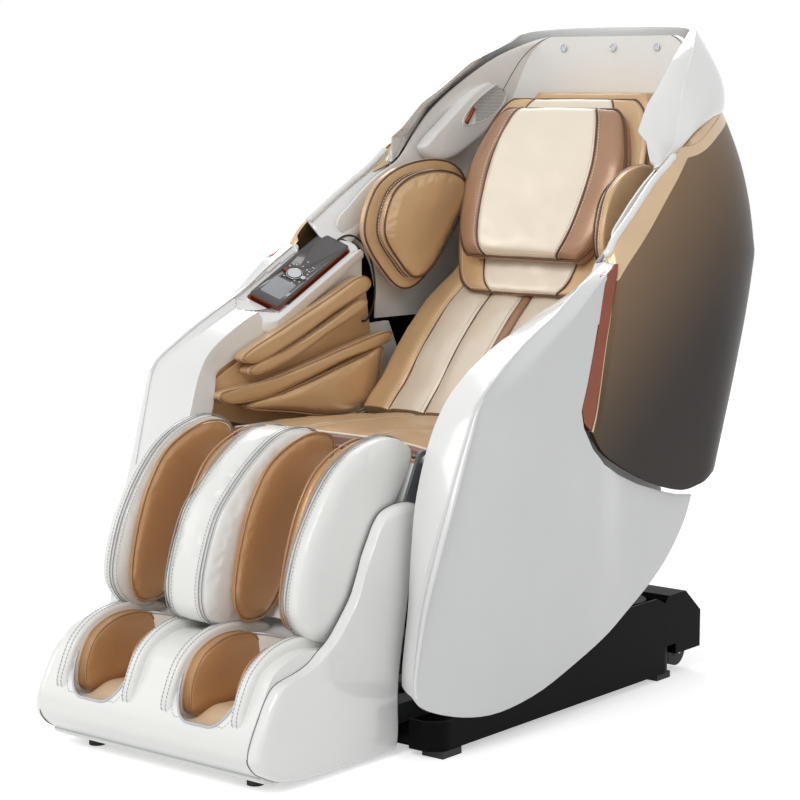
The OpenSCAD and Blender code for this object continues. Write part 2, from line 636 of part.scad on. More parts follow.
// Mains inlet and the bezel of the switch, in the rear face of the housing
module power_panel() {
    color(graphite) {
        difference() {
            union() {
                translate([inlet_x - 22, 460, 62]) cube([44, 3, 30]);
                translate([inlet_x - 13.5, 432, 66.5]) cube([27, 29, 21]);
            }
            translate([inlet_x - 10, 446, 70]) cube([20, 18, 14]);
        }
        difference() {
            translate([switch_x - 15, 460, 64]) cube([30, 4, 26]);
            translate([switch_x - 10, 455, 69]) cube([20, 12, 16]);
        }
    }
}
switch_axis = [458, 77];
module power_switch() {
    color([0.7, 0.1, 0.1]) difference() {
        slab(switch_x - 9, switch_x + 9)
            polygon([[450, 71], [463, 70], [466.5, 77], [463, 84], [450, 83]]);
        bar(switch_axis, switch_x - 10, switch_x + 10, 2 + fit);
    }
}
module power_supply() {
    color(graphite) translate([-128, -240, floor_z]) {
        cube([88, 150, 34]);
        for (k = [0 : 6]) translate([4 + 12 * k, 10, 34]) cube([4, 130, 6]);
    }
}
module air_pump() {
    color(steel) translate([84, -170, floor_z]) {
        translate([-44, -70, 0]) cube([88, 140, 22]);
        for (y = [-36, 36]) translate([0, y, 22]) cylinder(r = 28, h = 20);
    }
}

// Tilt actuator: its tube stands on the base, its rod lifts the seat frame
tilt_dir = unit([0.612, 0.79]);
tilt_eye = [-5, 337] - 44.7 * tilt_dir;
tilt_foot = tilt_eye - 318 * tilt_dir;
function place(p, dir, s) = p + dir * s;
module rod_between(x, from, dir, s0, s1, r) {
    a = place(from, dir, s0);
    translate([x, a[0], a[1]]) rotate([-atan2(dir[0], dir[1]), 0, 0]) cylinder(r = r, h = s1 - s0);
}
module tilt_motor() {
    color(graphite) {
        difference() {
            rod_between(0, tilt_foot, tilt_dir, 22, 190, 21);
            rod_between(0, tilt_foot, tilt_dir, 60, 191, 10 + fit);
        }
        translate([-34, tilt_foot[0] - 36, floor_z]) cube([68, 74, 44]);
    }
}
module tilt_rod() {
    color(steel) {
        rod_between(0, tilt_foot, tilt_dir, 70, 300, 10);
        difference() {
            bar(tilt_eye, -11, 11, 20);
            bar(tilt_eye, -12, 12, 10.5);
        }
    }
}

// ---------------------------------------------------------------- seat frame
seat_rail_x = 252;
seat_pan_z = 412;
// Fork over the eye of the tilt rod, and hangers for the two actuators below the seat
module actuator_brackets() {
    difference() {
        for (x = [-18, 13]) translate([x, -44, 288]) cube([5, 28, 96]);
        bar([-32.4, 301.7], -30, 30, 6);
    }
    bar([-32.4, 301.7], -20, 20, 6);
    for (y = [-176, -40]) {
        translate([-136, y, 376]) cube([52, 20, 8]);
        translate([84, y, 328]) cube([52, 20, 56]);
    }
}
module seat_frame() {
    color(steel) {
        both_sides() {
            // rail, lug into the pivot tower, knee plate and recline plate
            tube_box([seat_rail_x, -190, 376], [26, 500, 36]);
            difference() {
                slab(tower_x - lug_t / 2, tower_x + lug_t / 2) {
                    translate(tilt_axis) circle(24);
                    polygon([[241, 128], [222, 376], [308, 376], [289, 128]]);
                }
                bar(tilt_axis, 200, 300, tilt_pin_r + fit);
            }
            difference() {
                slab(262.5, 262.5 + plate_t) {
                    translate(knee_axis) circle(20);
                    polygon([[-282, 478], [-282, 440], [-246, 412], [-160, 412], [-160, 430],
                        [-242, 490]]);
                }
                bar(knee_axis, 200, 300, pin_r);
            }
            difference() {
                slab(262.5, 262.5 + plate_t) {
                    translate(recline_axis) circle(22);
                    translate([60, 412]) square([130, 10]);
                }
                bar(recline_axis, 200, 300, pin_r);
            }
            // arms out to the side panels
            for (y = [-120, 200]) translate([seat_rail_x + 26, y, 384]) cube([52, 30, 20]);
        }
        tube_box([-seat_rail_x, -180, 384], [2 * seat_rail_x, 28, 22]);
        tube_box([-seat_rail_x, -44, 384], [2 * seat_rail_x, 28, 22]);
        tube_box([lug_t / 2 - tower_x, 250, 346], [2 * tower_x - lug_t, 28, 22]);
        translate([-238, -200, 406]) cube([476, 290, seat_pan_z - 406]);
        actuator_brackets();
    }
}
// Hinge pins of the seat frame: the knee and the recline axis
module hinge_pins() {
    color(steel) both_sides() {
        bar(knee_axis, leg_plate_x - 2, 262.5 + plate_t + 2, pin_r);
        bar(knee_axis, leg_plate_x + leg_plate_t + 0.5, 262.5, pin_r + 4);
        bar(recline_axis, 242, 262.5 + plate_t + 2, pin_r);
    }
}

// Legrest and recline actuators hang below the seat; each rod pushes a slotted crank
leg_drive = [-110, 120, 25];     // place across the chair, crank radius, half swing
recline_drive = [110, 110, 12.5];
leg_pin = knee_axis + leg_drive[1] * [tan(leg_drive[2]), -1];
recline_pin = recline_axis + recline_drive[1] * [tan(recline_drive[2]), -1];
drive_pin_r = 5;
module drive_tube(x, z, y0, y1) {
    difference() {
        rotate_y_bar(x, z, y0, y1, 18);
        rotate_y_bar(x, z, y0 + 20, y1 + 1, 8 + fit);
    }
}
module rotate_y_bar(x, z, y0, y1, r) {
    translate([x, y0, z]) rotate([-90, 0, 0]) cylinder(r = r, h = y1 - y0);
}
module drive_fork(x, pin, side) {
    for (k = [-1, 1]) slab(x + k * 8.2 - 2.5, x + k * 8.2 + 2.5)
        translate(pin + [side * 6, 0]) square([44, 20], center = true);
    bar(pin, x - 10, x + 10, drive_pin_r);
}
module drive_crank(x, axis, from, drive, width) {
    dir = [sin(drive[2]), -cos(drive[2])];
    near = axis + (drive[1] - drive_pin_r - 1.5) * dir;
    far = axis + (drive[1] / cos(drive[2]) + drive_pin_r + 1.5) * dir;
    side = 6.4 * [cos(drive[2]), sin(drive[2])];
    slab(x - 4, x + 4) difference() {
        polygon([from + [-width, -2], from + [width, 8], far + 2.4 * side + 9 * dir,
            far - 2.4 * side + 9 * dir]);
        polygon([near - side, near + side, far + side, far - side]);
    }
}
module legrest_rod() {
    color(steel) {
        drive_fork(leg_drive[0], leg_pin, 1);
        rotate_y_bar(leg_drive[0], leg_pin[1], leg_pin[0] + 22, -8, 8);
    }
}
module seat_actuators() {
    color(graphite) {
        mirror([0, 1, 0]) {
            drive_tube(leg_drive[0], leg_pin[1], -45, 165);
            translate([leg_drive[0] - 24, -75, leg_pin[1] - 40]) cube([48, 40, 58]);
        }
        drive_tube(recline_drive[0], recline_pin[1], -130, 66);
        translate([recline_drive[0] - 24, -165, recline_pin[1] - 40]) cube([48, 40, 58]);
    }
}
module recline_rod() {
    color(steel) {
        drive_fork(recline_drive[0], recline_pin, -1);
        rotate_y_bar(recline_drive[0], recline_pin[1], 10, recline_pin[0] - 22, 8);
    }
}

// ---------------------------------------------------------------- backrest frame
torque_tube = [142, 430];
back_low = [388, 540];
rail_dir = unit([212, 435]);
rail_len = 450;
rail_r = 9;
back_top = back_low + rail_len * rail_dir + (2 * rail_r - 2) * [rail_dir.y, -rail_dir.x];
lean_deg = atan2(rail_dir.x, rail_dir.y);
module back_frame() {
    color(steel) {
        both_sides() difference() {
            slab(244, 244 + plate_t) {
                translate(recline_axis) circle(22);
                polygon([[103, 420], [140, 398], [250, 440], [405, 530], [603, 938], [594, 960],
                    [562, 948], [372, 566], [215, 505], [112, 445]]);
            }
            bar(recline_axis, 200, 300, pin_r + fit);
        }
        bar(torque_tube, -245, 245, 11);
        bar(back_low, -245, 245, 12);
        bar(back_top, -245, 245, rail_r);
        both_sides() rod_between(carriage_x, back_low, rail_dir, 0, rail_len, rail_r);
        drive_crank(recline_drive[0], recline_axis, torque_tube, recline_drive, 14);
    }
}
// The roller carriage runs on the two round rails of the back frame
carriage_x = 120;
carriage_at = back_low + 112 * rail_dir;
module on_carriage() {
    translate([0, carriage_at[0], carriage_at[1]]) rotate([-lean_deg, 0, 0]) children();
}
module carriage_frame() {
    color(graphite) on_carriage() difference() {
        union() {
            translate([-104, 16, -70]) cube([208, 8, 130]);
            for (x = [-1, 1]) {
                translate([x * carriage_x, 0, -50]) cylinder(r = 17, h = 100);
                translate([x * 104 - 4, -6, -50]) cube([8, 24, 100]);
                translate([x * 82 - 4, -8, -16]) cube([8, 24, 32]);
            }
            translate([-86, 0, 0]) rotate([0, 90, 0]) cylinder(r = 6, h = 172);
        }
        for (x = [-1, 1]) translate([x * carriage_x, 0, -60]) cylinder(r = rail_r + fit, h = 120);
    }
}
module carriage_motor() {
    color(black) on_carriage() {
        translate([-60, 52, 20]) rotate([0, 90, 0]) cylinder(r = 27, h = 120);
        translate([-30, 24, -40]) cube([60, 40, 50]);
    }
}
roller_y = -20;
roller_z = 48;
module massage_arms() {
    color(graphite) on_carriage() {
        for (x = [-34, 34]) difference() {
            translate([x - 4, 0, 0]) rotate([90, 0, 90]) linear_extrude(8) {
                circle(14);
                polygon([[-8, -10], [8, -10], [roller_y + 8, roller_z - 4],
                    [roller_y - 8, roller_z], [roller_y - 2, 0], [roller_y - 8, -roller_z],
                    [roller_y + 8, -roller_z + 4]]);
                for (z = [-roller_z, roller_z]) translate([roller_y, z]) circle(10);
            }
            translate([x - 10, 0, 0]) rotate([0, 90, 0]) cylinder(r = 6 + fit, h = 20);
        }
        for (z = [-roller_z, roller_z])
            translate([-76, roller_y, z]) rotate([0, 90, 0]) cylinder(r = 4, h = 152);
    }
}
module roller_pair(z) {
    color(tan) on_carriage() for (x = [-56, 56]) translate([x, roller_y, z]) rotate([0, 90, 0])
        difference() {
            rotate_extrude() polygon([[5, -15], [roller_r - 6, -15], [roller_r, -7],
                [roller_r, 7], [roller_r - 6, 15], [5, 15]]);
            translate([0, 0, -20]) cylinder(r = 4 + fit, h = 40);
        }
}
module upper_rollers() { roller_pair(roller_z); }
module lower_rollers() { roller_pair(-roller_z); }

// ---------------------------------------------------------------- legrest
slide_dir = unit([-0.588, -0.809]);
slide_x = 150;
slide_foot = [-414, 160];
leg_bar = [-272, 415];
leg_plate_x = 227.5;
leg_plate_t = 5.5;
foot_cover_x = 234.5;
module leg_frame() {
    color(steel) {
        both_sides() {
            difference() {
                slab(leg_plate_x, leg_plate_x + leg_plate_t) {
                    translate(knee_axis) circle(17);
                    polygon([[-246, 472], [-280, 478], [-319, 400], [-382, 306], [-436, 240],
                        [-420, 232], [-328, 232], [-288, 320], [-256, 408]]);
                }
                bar(knee_axis, 200, 300, pin_r + fit);
            }
            // sleeve of the foot slide
            difference() {
                rod_between(slide_x, slide_foot, slide_dir, -205, -82, 15);
                rod_between(slide_x, slide_foot, slide_dir, -206, -81, 8 + fit);
            }
        }
        bar(leg_bar, -leg_plate_x - 1, leg_plate_x + 1, 11);
        both_sides() for (s = [-190, -110])
            bar(place(slide_foot, slide_dir, s), slide_x + 12, leg_plate_x + 1, 9);
        bar(place(slide_foot, slide_dir, -190), -slide_x + 12, slide_x - 12, 9);
        drive_crank(leg_drive[0], knee_axis, leg_bar, leg_drive, 13);
    }
}
calf_back = [[-280, 475], [-314, 401], [-394, 293], [-452, 223]];
module calf_shell() {
    color(white) slab(-leg_plate_x, leg_plate_x) polygon(join([calf_back,
        [for (k = [len(calf_back) - 1 : -1 : 0]) calf_back[k] + [5, -3]]]));
}

// ---------------------------------------------------------------- foot unit
well_x = 121;
foot_profile = [[-628, 14], [-672, 34], [-694, 54], [-700, 74], [-692, 100], [-666, 144],
    [-638, 186], [-600, 204], [-560, 210], [-520, 206], [-470, 200], [-440, 204], [-402, 208],
    [-372, 188], [-358, 100], [-354, 14]];
well_profile = [[-760, 84], [-659, 80], [-560, 74], [-510, 86], [-490, 120], [-484, 240],
    [-760, 240]];
tub_profile = [[-760, 72], [-659, 69], [-560, 63], [-504, 75], [-481, 112], [-475, 250],
    [-760, 250]];
foot_middle = [-530, 105];
// Open underneath, with a tub round each foot, bosses for the slide bars and roller brackets
module foot_shell() {
    color(white) difference() {
        union() {
            difference() {
                slab(-foot_cover_x, foot_cover_x) polygon(foot_profile);
                slab(-foot_cover_x + shell_t, foot_cover_x - shell_t) {
                    polygon([for (p = foot_profile) mix(foot_middle, p, 0.93)]);
                    polygon([[-600, 0], [-372, 0], [-376, 60], [-612, 60]]);
                }
            }
            for (x = [-well_x, well_x]) {
                intersection() {
                    slab(x - 76, x + 76) polygon(tub_profile);
                    slab(-foot_cover_x, foot_cover_x) polygon(foot_profile);
                }
                for (k = [-1, 1]) slab(x + k * 57 - 4, x + k * 57 + 4)
                    polygon([[-606, 24], [-554, 24], [-554, 74], [-606, 74]]);
            }
            for (x = [-slide_x, slide_x]) rod_between(x, slide_foot, slide_dir, -52, 40, 15);
        }
        for (x = [-well_x, well_x]) {
            slab(x - 70, x + 70) polygon(well_profile);
            slab(x - 52, x + 52) translate([-606, 18]) square([52, 70]);
            bar(foot_roller_axis, x - 60, x + 60, 4);
        }
        for (x = [-slide_x, slide_x]) rod_between(x, slide_foot, slide_dir, -60, 60, 8);
    }
}
module foot_side_covers() {
    color(white) both_sides() stack([for (w = [[0, 1], [12, 0.985], [20, 0.93]])
        ring(cover_outline, [-490, 190], foot_cover_x + w[0], w[1])], true);
}
cover_outline = [[-610, 12], [-672, 34], [-696, 56], [-698, 74], [-690, 96], [-676, 122],
    [-658, 152], [-636, 172], [-589, 182], [-558, 192], [-536, 206], [-510, 222], [-480, 252],
    [-455, 282], [-438, 315], [-425, 346], [-412, 368], [-397, 392], [-377, 409], [-341, 417],
    [-303, 414], [-298, 392], [-326, 240], [-348, 120], [-350, 20], [-372, 6], [-480, 6]];
// Slide bars that run in the sleeves of the leg frame, and the axles of the foot rollers
module foot_rods() {
    color(steel) {
        for (x = [-slide_x, slide_x]) rod_between(x, slide_foot, slide_dir, -250, 20, 8);
        for (x = [-well_x, well_x]) bar(foot_roller_axis, x - 59, x + 59, 4);
    }
}
foot_roller_axis = [-580, 46];
sole_profile = [[-655, 80.2], [-560, 74.3], [-511.5, 86.3], [-496, 116], [-502, 122], [-518, 100],
    [-561, 88], [-655, 93]];
foot_pad_outline = [[-664, 104], [-666, 138], [-640, 184], [-600, 204], [-550, 208], [-506, 196],
    [-492, 160], [-512, 118], [-570, 104]];
module foot_cushions() {
    color(tan) for (x = [-well_x, well_x]) {
        slab(x - 44, x + 44) polygon(sole_profile);
        for (k = [-1, 1]) puff(foot_pad_outline, x + k * 58 - 8, x + k * 58 + 8, 3.5, 14);
    }
}
module foot_rollers() {
    color(graphite) for (x = [-well_x, well_x]) difference() {
        union() {
            bar(foot_roller_axis, x - 44, x + 44, 18);
            for (k = [-30, -10, 10, 30]) bar(foot_roller_axis, x + k - 5, x + k + 5, 23);
        }
        bar(foot_roller_axis, x - 50, x + 50, 4 + fit);
    }
}
module rubber_feet() {
    color(rubber) {
        for (x = [-180, 180], y = [-622, -362]) translate([x, y, 0]) cylinder(r = 14, h = 14);
    }
}

// ---------------------------------------------------------------- remote
remote_at = [-345, -61, 705];
remote_tilt = [26.6, 24.7];
dock_depth = 18;
// Point of the remote's own frame
function on_remote(p) =
    let (a = remote_tilt[0], b = remote_tilt[1],
        x = p.x * cos(b) + p.z * sin(b), z = p.z * cos(b) - p.x * sin(b))
    remote_at + [x, p.y * cos(a) - z * sin(a), p.y * sin(a) + z * cos(a)];
module on_dock() {
    translate(remote_at) rotate([remote_tilt[0], 0, 0]) rotate([0, remote_tilt[1], 0]) children();
}
module dock_plate(x0, y0, w, l, h, r) {
    translate([x0 + w / 2, y0 + l / 2, 0]) linear_extrude(h) round_rect(w, l, r);
}
module remote_dock() {
    color(copper) on_dock() translate([0, 0, -dock_depth]) difference() {
        union() {
            dock_plate(5, -4, 65, 229, dock_depth - 8, 8);
            translate([0, 0, dock_depth - 9]) dock_plate(-3, -6, 75, 236, 7, 12);
        }
        translate([0, 0, dock_depth - 7]) dock_plate(0, -1, 68, 230, 10, 6);
    }
}
module remote_body() {
    color(graphite) on_dock() difference() {
        translate([0, 0, -6.5]) dock_plate(0.5, -0.5, 67, 229, 15, 6);
        translate([34, 96, 4]) cylinder(r = 13.4, h = 10);
        for (x = [14, 54]) translate([x, 96, 4]) cylinder(r = 5.4, h = 10);
        translate([10, 18, 7.7]) cube([48, 54, 2]);
    }
}
module nav_button() {
    color(steel) on_dock() translate([34, 96, 5.4]) cylinder(r = 13, h = 5.6);
}
module power_key() {
    color(copper) on_dock() translate([14, 96, 5.2]) cylinder(r = 5, h = 5);
}
module pause_key() {
    color(steel) on_dock() translate([54, 96, 5.2]) cylinder(r = 5, h = 5);
}

// Cable of the remote, from its rear end over the arm and down beside the hip pad
cord_r = 2;
cord_route = [on_remote([34, 228.5, 1]), on_remote([34, 236, 1]), [-311, 174, 806], [-306, 190, 806],
    [-299, 206, 796], [-291, 218, 776], [-286, 227, 748], [-284, 232, 716], [-284, 232, 690],
    [-284, 226, 668], [-283, 214, 650], [-282, 204, 643], [-284, 200, 641], [-289, 200, 641]];
cord_sides = 8;
function cord_ring(i) =
    let (last = len(cord_route) - 1,
        d = unit(cord_route[min(i + 1, last)] - cord_route[max(i - 1, 0)]),
        a = unit(cross(d, [0.3, 1, 0.1])), b = cross(d, a))
    [for (k = [0 : cord_sides - 1]) cord_route[i]
        + cord_r * (a * cos(360 * k / cord_sides) + b * sin(360 * k / cord_sides))];
module remote_cord() {
    color(black) stack([for (i = [0 : len(cord_route) - 1]) cord_ring(i)]);
}

base_plinth();
base_frame();
rear_housing();
pivot_towers();
base_pins();
base_feet();
power_panel();
power_supply();
air_pump();
tilt_motor();
transport_wheels();
power_switch();
tilt_rod();
seat_frame();
hinge_pins();
side_liners();
left_side_panel();
right_side_panel();
arm_covers();
accent_strips();
seat_cushion();
arm_airbags();
arm_channel_pads();
seat_actuators();
remote_dock();
remote_cord();
legrest_rod();
recline_rod();
back_frame();
left_back_panel();
right_back_panel();
rear_cover();
hood();
hood_liner();
speaker_pods();
hood_lights();
back_cushion();
head_flap();
head_pillow();
top_cushion();
shoulder_pads();
carriage_frame();
carriage_motor();
massage_arms();
upper_rollers();
lower_rollers();
leg_frame();
calf_shell();
calf_pads();
calf_airbags();
foot_shell();
foot_side_covers();
foot_rods();
foot_cushions();
foot_rollers();
rubber_feet();
remote_body();
nav_button();
power_key();
pause_key();
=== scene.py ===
import math

import bpy
import numpy as np
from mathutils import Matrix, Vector, noise


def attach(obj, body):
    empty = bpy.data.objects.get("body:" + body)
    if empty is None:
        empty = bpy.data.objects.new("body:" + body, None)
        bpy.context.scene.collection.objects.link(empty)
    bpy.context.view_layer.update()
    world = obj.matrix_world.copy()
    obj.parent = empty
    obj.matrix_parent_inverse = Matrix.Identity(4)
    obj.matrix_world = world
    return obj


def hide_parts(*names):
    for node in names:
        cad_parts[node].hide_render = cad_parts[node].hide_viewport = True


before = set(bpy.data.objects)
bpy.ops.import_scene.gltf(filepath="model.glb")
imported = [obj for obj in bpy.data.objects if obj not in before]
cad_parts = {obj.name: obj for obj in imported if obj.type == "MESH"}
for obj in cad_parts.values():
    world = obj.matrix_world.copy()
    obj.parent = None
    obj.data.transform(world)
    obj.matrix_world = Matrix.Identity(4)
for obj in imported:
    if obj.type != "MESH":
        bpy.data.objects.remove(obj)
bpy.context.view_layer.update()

bl_info = {
    "name": "Massage chair dressing",
    "version": (1, 0, 0),
    "blender": (4, 5, 0),
    "location": "3D View > Sidebar > Massage chair",
    "description": "Shells, upholstery, sewing and finishes of the massage chair",
    "category": "Object",
}

MM = 0.001


# ---------------------------------------------------------------- curves, in millimetres
def mix(a, b, t):
    return a + (b - a) * t


def clamp(v, lo=0.0, hi=1.0):
    return min(max(v, lo), hi)


def smooth(t):
    c = clamp(t)
    return c * c * (3 - 2 * c)


def unit(v):
    v = np.asarray(v, float)
    return v / max(1e-12, np.linalg.norm(v))


def points(rows):
    """Rows of numbers as an array."""
    return np.array(rows, float)


def hermite(a, b, c, d, t):
    """Point between b and c at t, on the curve that a and d steer."""
    return 0.5 * (2 * b + (c - a) * t + (2 * a - 5 * b + 4 * c - d) * t * t
                  + (3 * b - a - 3 * c + d) * t * t * t)


def along(p, t):
    """Point at t on the smooth curve through the points of p."""
    last = len(p) - 1
    s = clamp(t) * last
    i = min(int(s), last - 1)
    return hermite(p[max(i - 1, 0)], p[i], p[i + 1], p[min(i + 2, last)], s - i)


def chain(p, t):
    """Point at t on the straight lines through the points of p."""
    last = len(p) - 1
    s = clamp(t) * last
    i = min(int(s), last - 1)
    return mix(p[i], p[i + 1], s - i)


def closed(p, n):
    """n points on the smooth closed curve through the points of p."""
    m = len(p)
    out = []
    for k in range(n):
        s = k * m / n
        i = int(s)
        out.append(hermite(p[(i + m - 1) % m], p[i % m], p[(i + 1) % m], p[(i + 2) % m], s - i))
    return np.array(out)


def curve_value(table, x):
    """Smooth value at x between the rows of a table of pairs."""
    xs, ys = table[:, 0], table[:, 1]
    if x <= xs[0]:
        return ys[0]
    if x >= xs[-1]:
        return ys[-1]
    i = int(np.searchsorted(xs, x)) - 1
    slope = np.gradient(ys, xs)
    h = xs[i + 1] - xs[i]
    t = (x - xs[i]) / h
    return ((2 * t ** 3 - 3 * t ** 2 + 1) * ys[i] + (t ** 3 - 2 * t ** 2 + t) * h * slope[i]
            + (3 * t ** 2 - 2 * t ** 3) * ys[i + 1] + (t ** 3 - t ** 2) * h * slope[i + 1])


def patch(bottom, top, left, right, u, v):
    """Point of the surface between four edge curves."""
    return (mix(bottom(u), top(u), v) + mix(left(v), right(v), u)
            - mix(mix(bottom(0), bottom(1), u), mix(top(0), top(1), u), v))


def steps(*stops):
    """Sample places from (start, end, count) spans, each with its ends, without repeats."""
    out = []
    for a, b, n in stops:
        for k in range(n + 1):
            t = a + (b - a) * k / n
            if not out or t > out[-1] + 1e-9:
                out.append(t)
    return out


# ---------------------------------------------------------------- the chair's own lines
SIDE_X = 390.0
ARM_X = 290.0
SHELL = 6.0
HOOD_SHELL = 10.8
SEAM = points([[346, -424, 125], [348, -428, 160], [355, -413, 260], [361, -384, 350],
               [367, -351, 441], [372, -318, 533], [374, -290, 593], [368, -221, 640],
               [362, -144, 681], [361, -57, 721], [362, 14, 761], [363, 78, 793]])
PANEL_REAR = points([[66, 787], [34, 772], [19, 699], [5, 649], [-13, 591], [-29, 550],
                     [-22, 520], [6, 480], [44, 448], [104, 422], [168, 396], [236, 376],
                     [300, 360], [348, 354]])
PANEL_BOTTOM = points([[-424, 125], [-392, 98], [-305, 70], [-215, 60], [-110, 74], [-10, 106],
                       [70, 137], [140, 172], [205, 206], [252, 236], [293, 272], [328, 314],
                       [348, 354]])
ARM_SEAM = np.vstack([SEAM, [[340, 78, 792], [336, 98, 803], [328, 132, 818]]])
ARM_INNER = points([[271, -367, 123], [271, -365, 160], [271, -351, 250], [271, -344, 335],
                    [271, -331, 425], [271, -299, 512], [279, -268, 575], [288, -225, 620],
                    [ARM_X, -146, 662], [ARM_X, -73, 689], [ARM_X, 0, 715], [ARM_X, 62, 734],
                    [ARM_X, 88, 743], [ARM_X, 124, 754], [ARM_X, 200, 768]])


def panel_x(y, z):
    """Reach of a side panel to the side at a depth y and a height z."""
    crease = 590 - 0.536 * (y + 300)
    low = curve_value(PANEL_BOTTOM, y)
    upper = (SIDE_X - 2 - 16 * ((-150 - y) / 140) ** 1.5 if y < -150
             else SIDE_X - 2 - 15 * smooth((y - 20) / 110))
    lower = min(SIDE_X - 17, SIDE_X - 45 + 0.055 * (y + 420))
    t = clamp((z - low) / max(60, crease - low))
    return mix(lower, upper, t ** 0.8)


def panel_point(u, v, depth):
    """Point of the left side panel; u runs from the seam back, v from the bottom up."""
    q = patch(lambda s: along(PANEL_BOTTOM, s),
              lambda s: mix(along(SEAM, 1)[1:], PANEL_REAR[0], s),
              lambda s: along(SEAM, s)[1:], lambda s: chain(PANEL_REAR, 1 - s), u, v)
    x = panel_x(q[0], q[1])
    front = along(SEAM, v)[0]
    x = mix(min(x, front), x, smooth(u / 0.1))
    return np.array([x - depth, q[0], q[1]])


def arm_point(u, v, depth):
    """u runs from the seam over the top to the inner edge and down; v from the floor back."""
    a = along(ARM_SEAM, v) - np.array([1, 0, 1])
    b = along(ARM_INNER, v)
    turn = smooth((v - 0.35) / 0.25)
    down = np.array([0, 58 * (1 - turn), -58 * turn])
    w = min(u / 0.7, 1)
    drop = 9 * (w / 0.2 if w < 0.2 else (1 - w) / 0.8)
    top = mix(a, b, w) + np.array([0, 4 * math.sin(math.pi * w) * (turn - 1), -drop * turn])
    inward = (np.array([depth, 0, 0]) if u > 0.7
              else np.array([0, depth * (1 - turn), -depth * turn]))
    return top + down * max(0, (u - 0.7) / 0.3) + inward


# half width and depth of the back, below and above the crease that runs round it
CREASE_Z = 782.0
BACK_W = (points([[380, 386], [560, 389], [700, 390], [CREASE_Z, 390]]),
          points([[CREASE_Z, 390], [885, 376], [950, 358], [1010, 332], [1060, 305], [1110, 278],
                  [1160, 240], [1215, 180]]))
BACK_Y = (points([[380, 490], [535, 588], [702, 672], [CREASE_Z, 701]]),
          points([[CREASE_Z, 701], [885, 692], [1000, 683], [1100, 676], [1215, 666]]))
CORNER_Y = 350.0
CORNER_LEN = 450.0
CORNER_END = CORNER_Y + 0.62 * CORNER_LEN
BRONZE_FRONT = points([[4, 510], [17, 538], [29, 580], [45, 646], [67.5, 728],
                       [85.5, 800]])
BRONZE_BOTTOM = points([[4, 510], [35, 472], [95, 438], [159, 410], [226, 386], [293, 370],
                        [346, 372], [CORNER_Y + 60, 388], [CORNER_Y + 160, 398],
                        [CORNER_END, 400]])
BRONZE_TOP = points([[85.5, 800], [109, 828], [169, 868], [231, 908], [295, 946], [361, 990],
                     [424, 1024], [CORNER_Y + 160, 1046], [CORNER_END, 1056]])
BRONZE_REAR = points([[CORNER_END, 400], [CORNER_END, 1056]])


def contour(c, z, depth):
    """Point on the back's outline at the height z; c runs back along the side and round."""
    w = curve_value(BACK_W[int(z > CREASE_Z)], z) - depth
    if c <= CORNER_Y:
        return np.array([w, c])
    phi = math.radians(min(90, 90 * (c - CORNER_Y) / CORNER_LEN))
    deep = curve_value(BACK_Y[int(z > CREASE_Z)], z) - depth - CORNER_Y
    return np.array([w * max(0, math.cos(phi)) ** 0.6, CORNER_Y + deep * math.sin(phi) ** 0.6])


def band_start(u):
    """Height on the bronze panel at which its pale bevelled edge begins."""
    return 1 - mix(0.125, 0.03, smooth(u / 0.62))


def bronze_point(u, v, depth):
    """Point of the left bronze panel; u runs from its front edge back, v up."""
    q = patch(lambda s: along(BRONZE_BOTTOM, s), lambda s: along(BRONZE_TOP, s),
              lambda s: along(BRONZE_FRONT, s), lambda s: chain(BRONZE_REAR, s), u, v)
    p = contour(q[0], q[1], depth)
    start = band_start(u)
    bevel = max(0, (v - start) / (1 - start))
    curl = (19 * (0.18 * smooth((v - 0.7) / 0.25) + 0.82 * bevel) * (1 - smooth((u - 0.42) / 0.2))
            + 9 * (1 - smooth(u / 0.06)) * v)
    return np.array([p[0] - curl, p[1], q[1]])


def rear_point(u, v, depth):
    """Point of the back cover; u runs from right to left, v up."""
    side = 2 * u - 1
    z = mix(400, 1056, v)
    p = contour(CORNER_Y + CORNER_LEN * (1 - 0.372 * abs(side)), z, depth)
    return np.array([(1 if side > 0 else -1 if side < 0 else 0) * p[0], p[1], z])


HOOD_FOOT = points([[322, 322, 944], [327, 396, 1003], [315, 490, 1034], [276, 586, 1046],
                    [160, 658, 1050], [0, 669, 1050]])
HOOD_RIM = points([[318, 306, 950], [321, 353, 991], [306, 393, 1049], [278, 453, 1104],
                   [246, 530, 1160], [208, 598, 1198], [166, 642, 1209], [84, 660, 1213],
                   [0, 664, 1214]])

# the front faces of the hood's wings lie between these two lines
WING_RIM = points([[318, 306, 946], [319, 326, 966], [321, 353, 991], [306, 393, 1049],
                   [278, 453, 1104], [246, 530, 1160], [208, 598, 1198]])
WING_LIP = points([[301, 310, 946], [299, 300, 975], [296, 299, 994], [274, 304, 1012],
                   [262, 350, 1059], [252, 400, 1089], [235, 474, 1140], [204, 566, 1180],
                   [196, 596, 1198]])


def hood_point(u, v, depth):
    """Point of the hood; u runs from the right wing over the top to the left, v up."""
    side = 2 * u - 1
    s = 1 - abs(side)
    bulge = 20 * math.sin(math.pi * v ** 0.8) * smooth(s / 0.3)
    out = np.array([0 if side == 0 else 0.7, 0.7, 0.15])
    inward = unit([-1.2 * min(1, (1 - s) * 2.5), -0.9, -0.55])
    p = mix(along(HOOD_FOOT, s), along(HOOD_RIM, s), v) + out * bulge + inward * depth
    return p * np.array([-1 if side < 0 else 1, 1, 1])


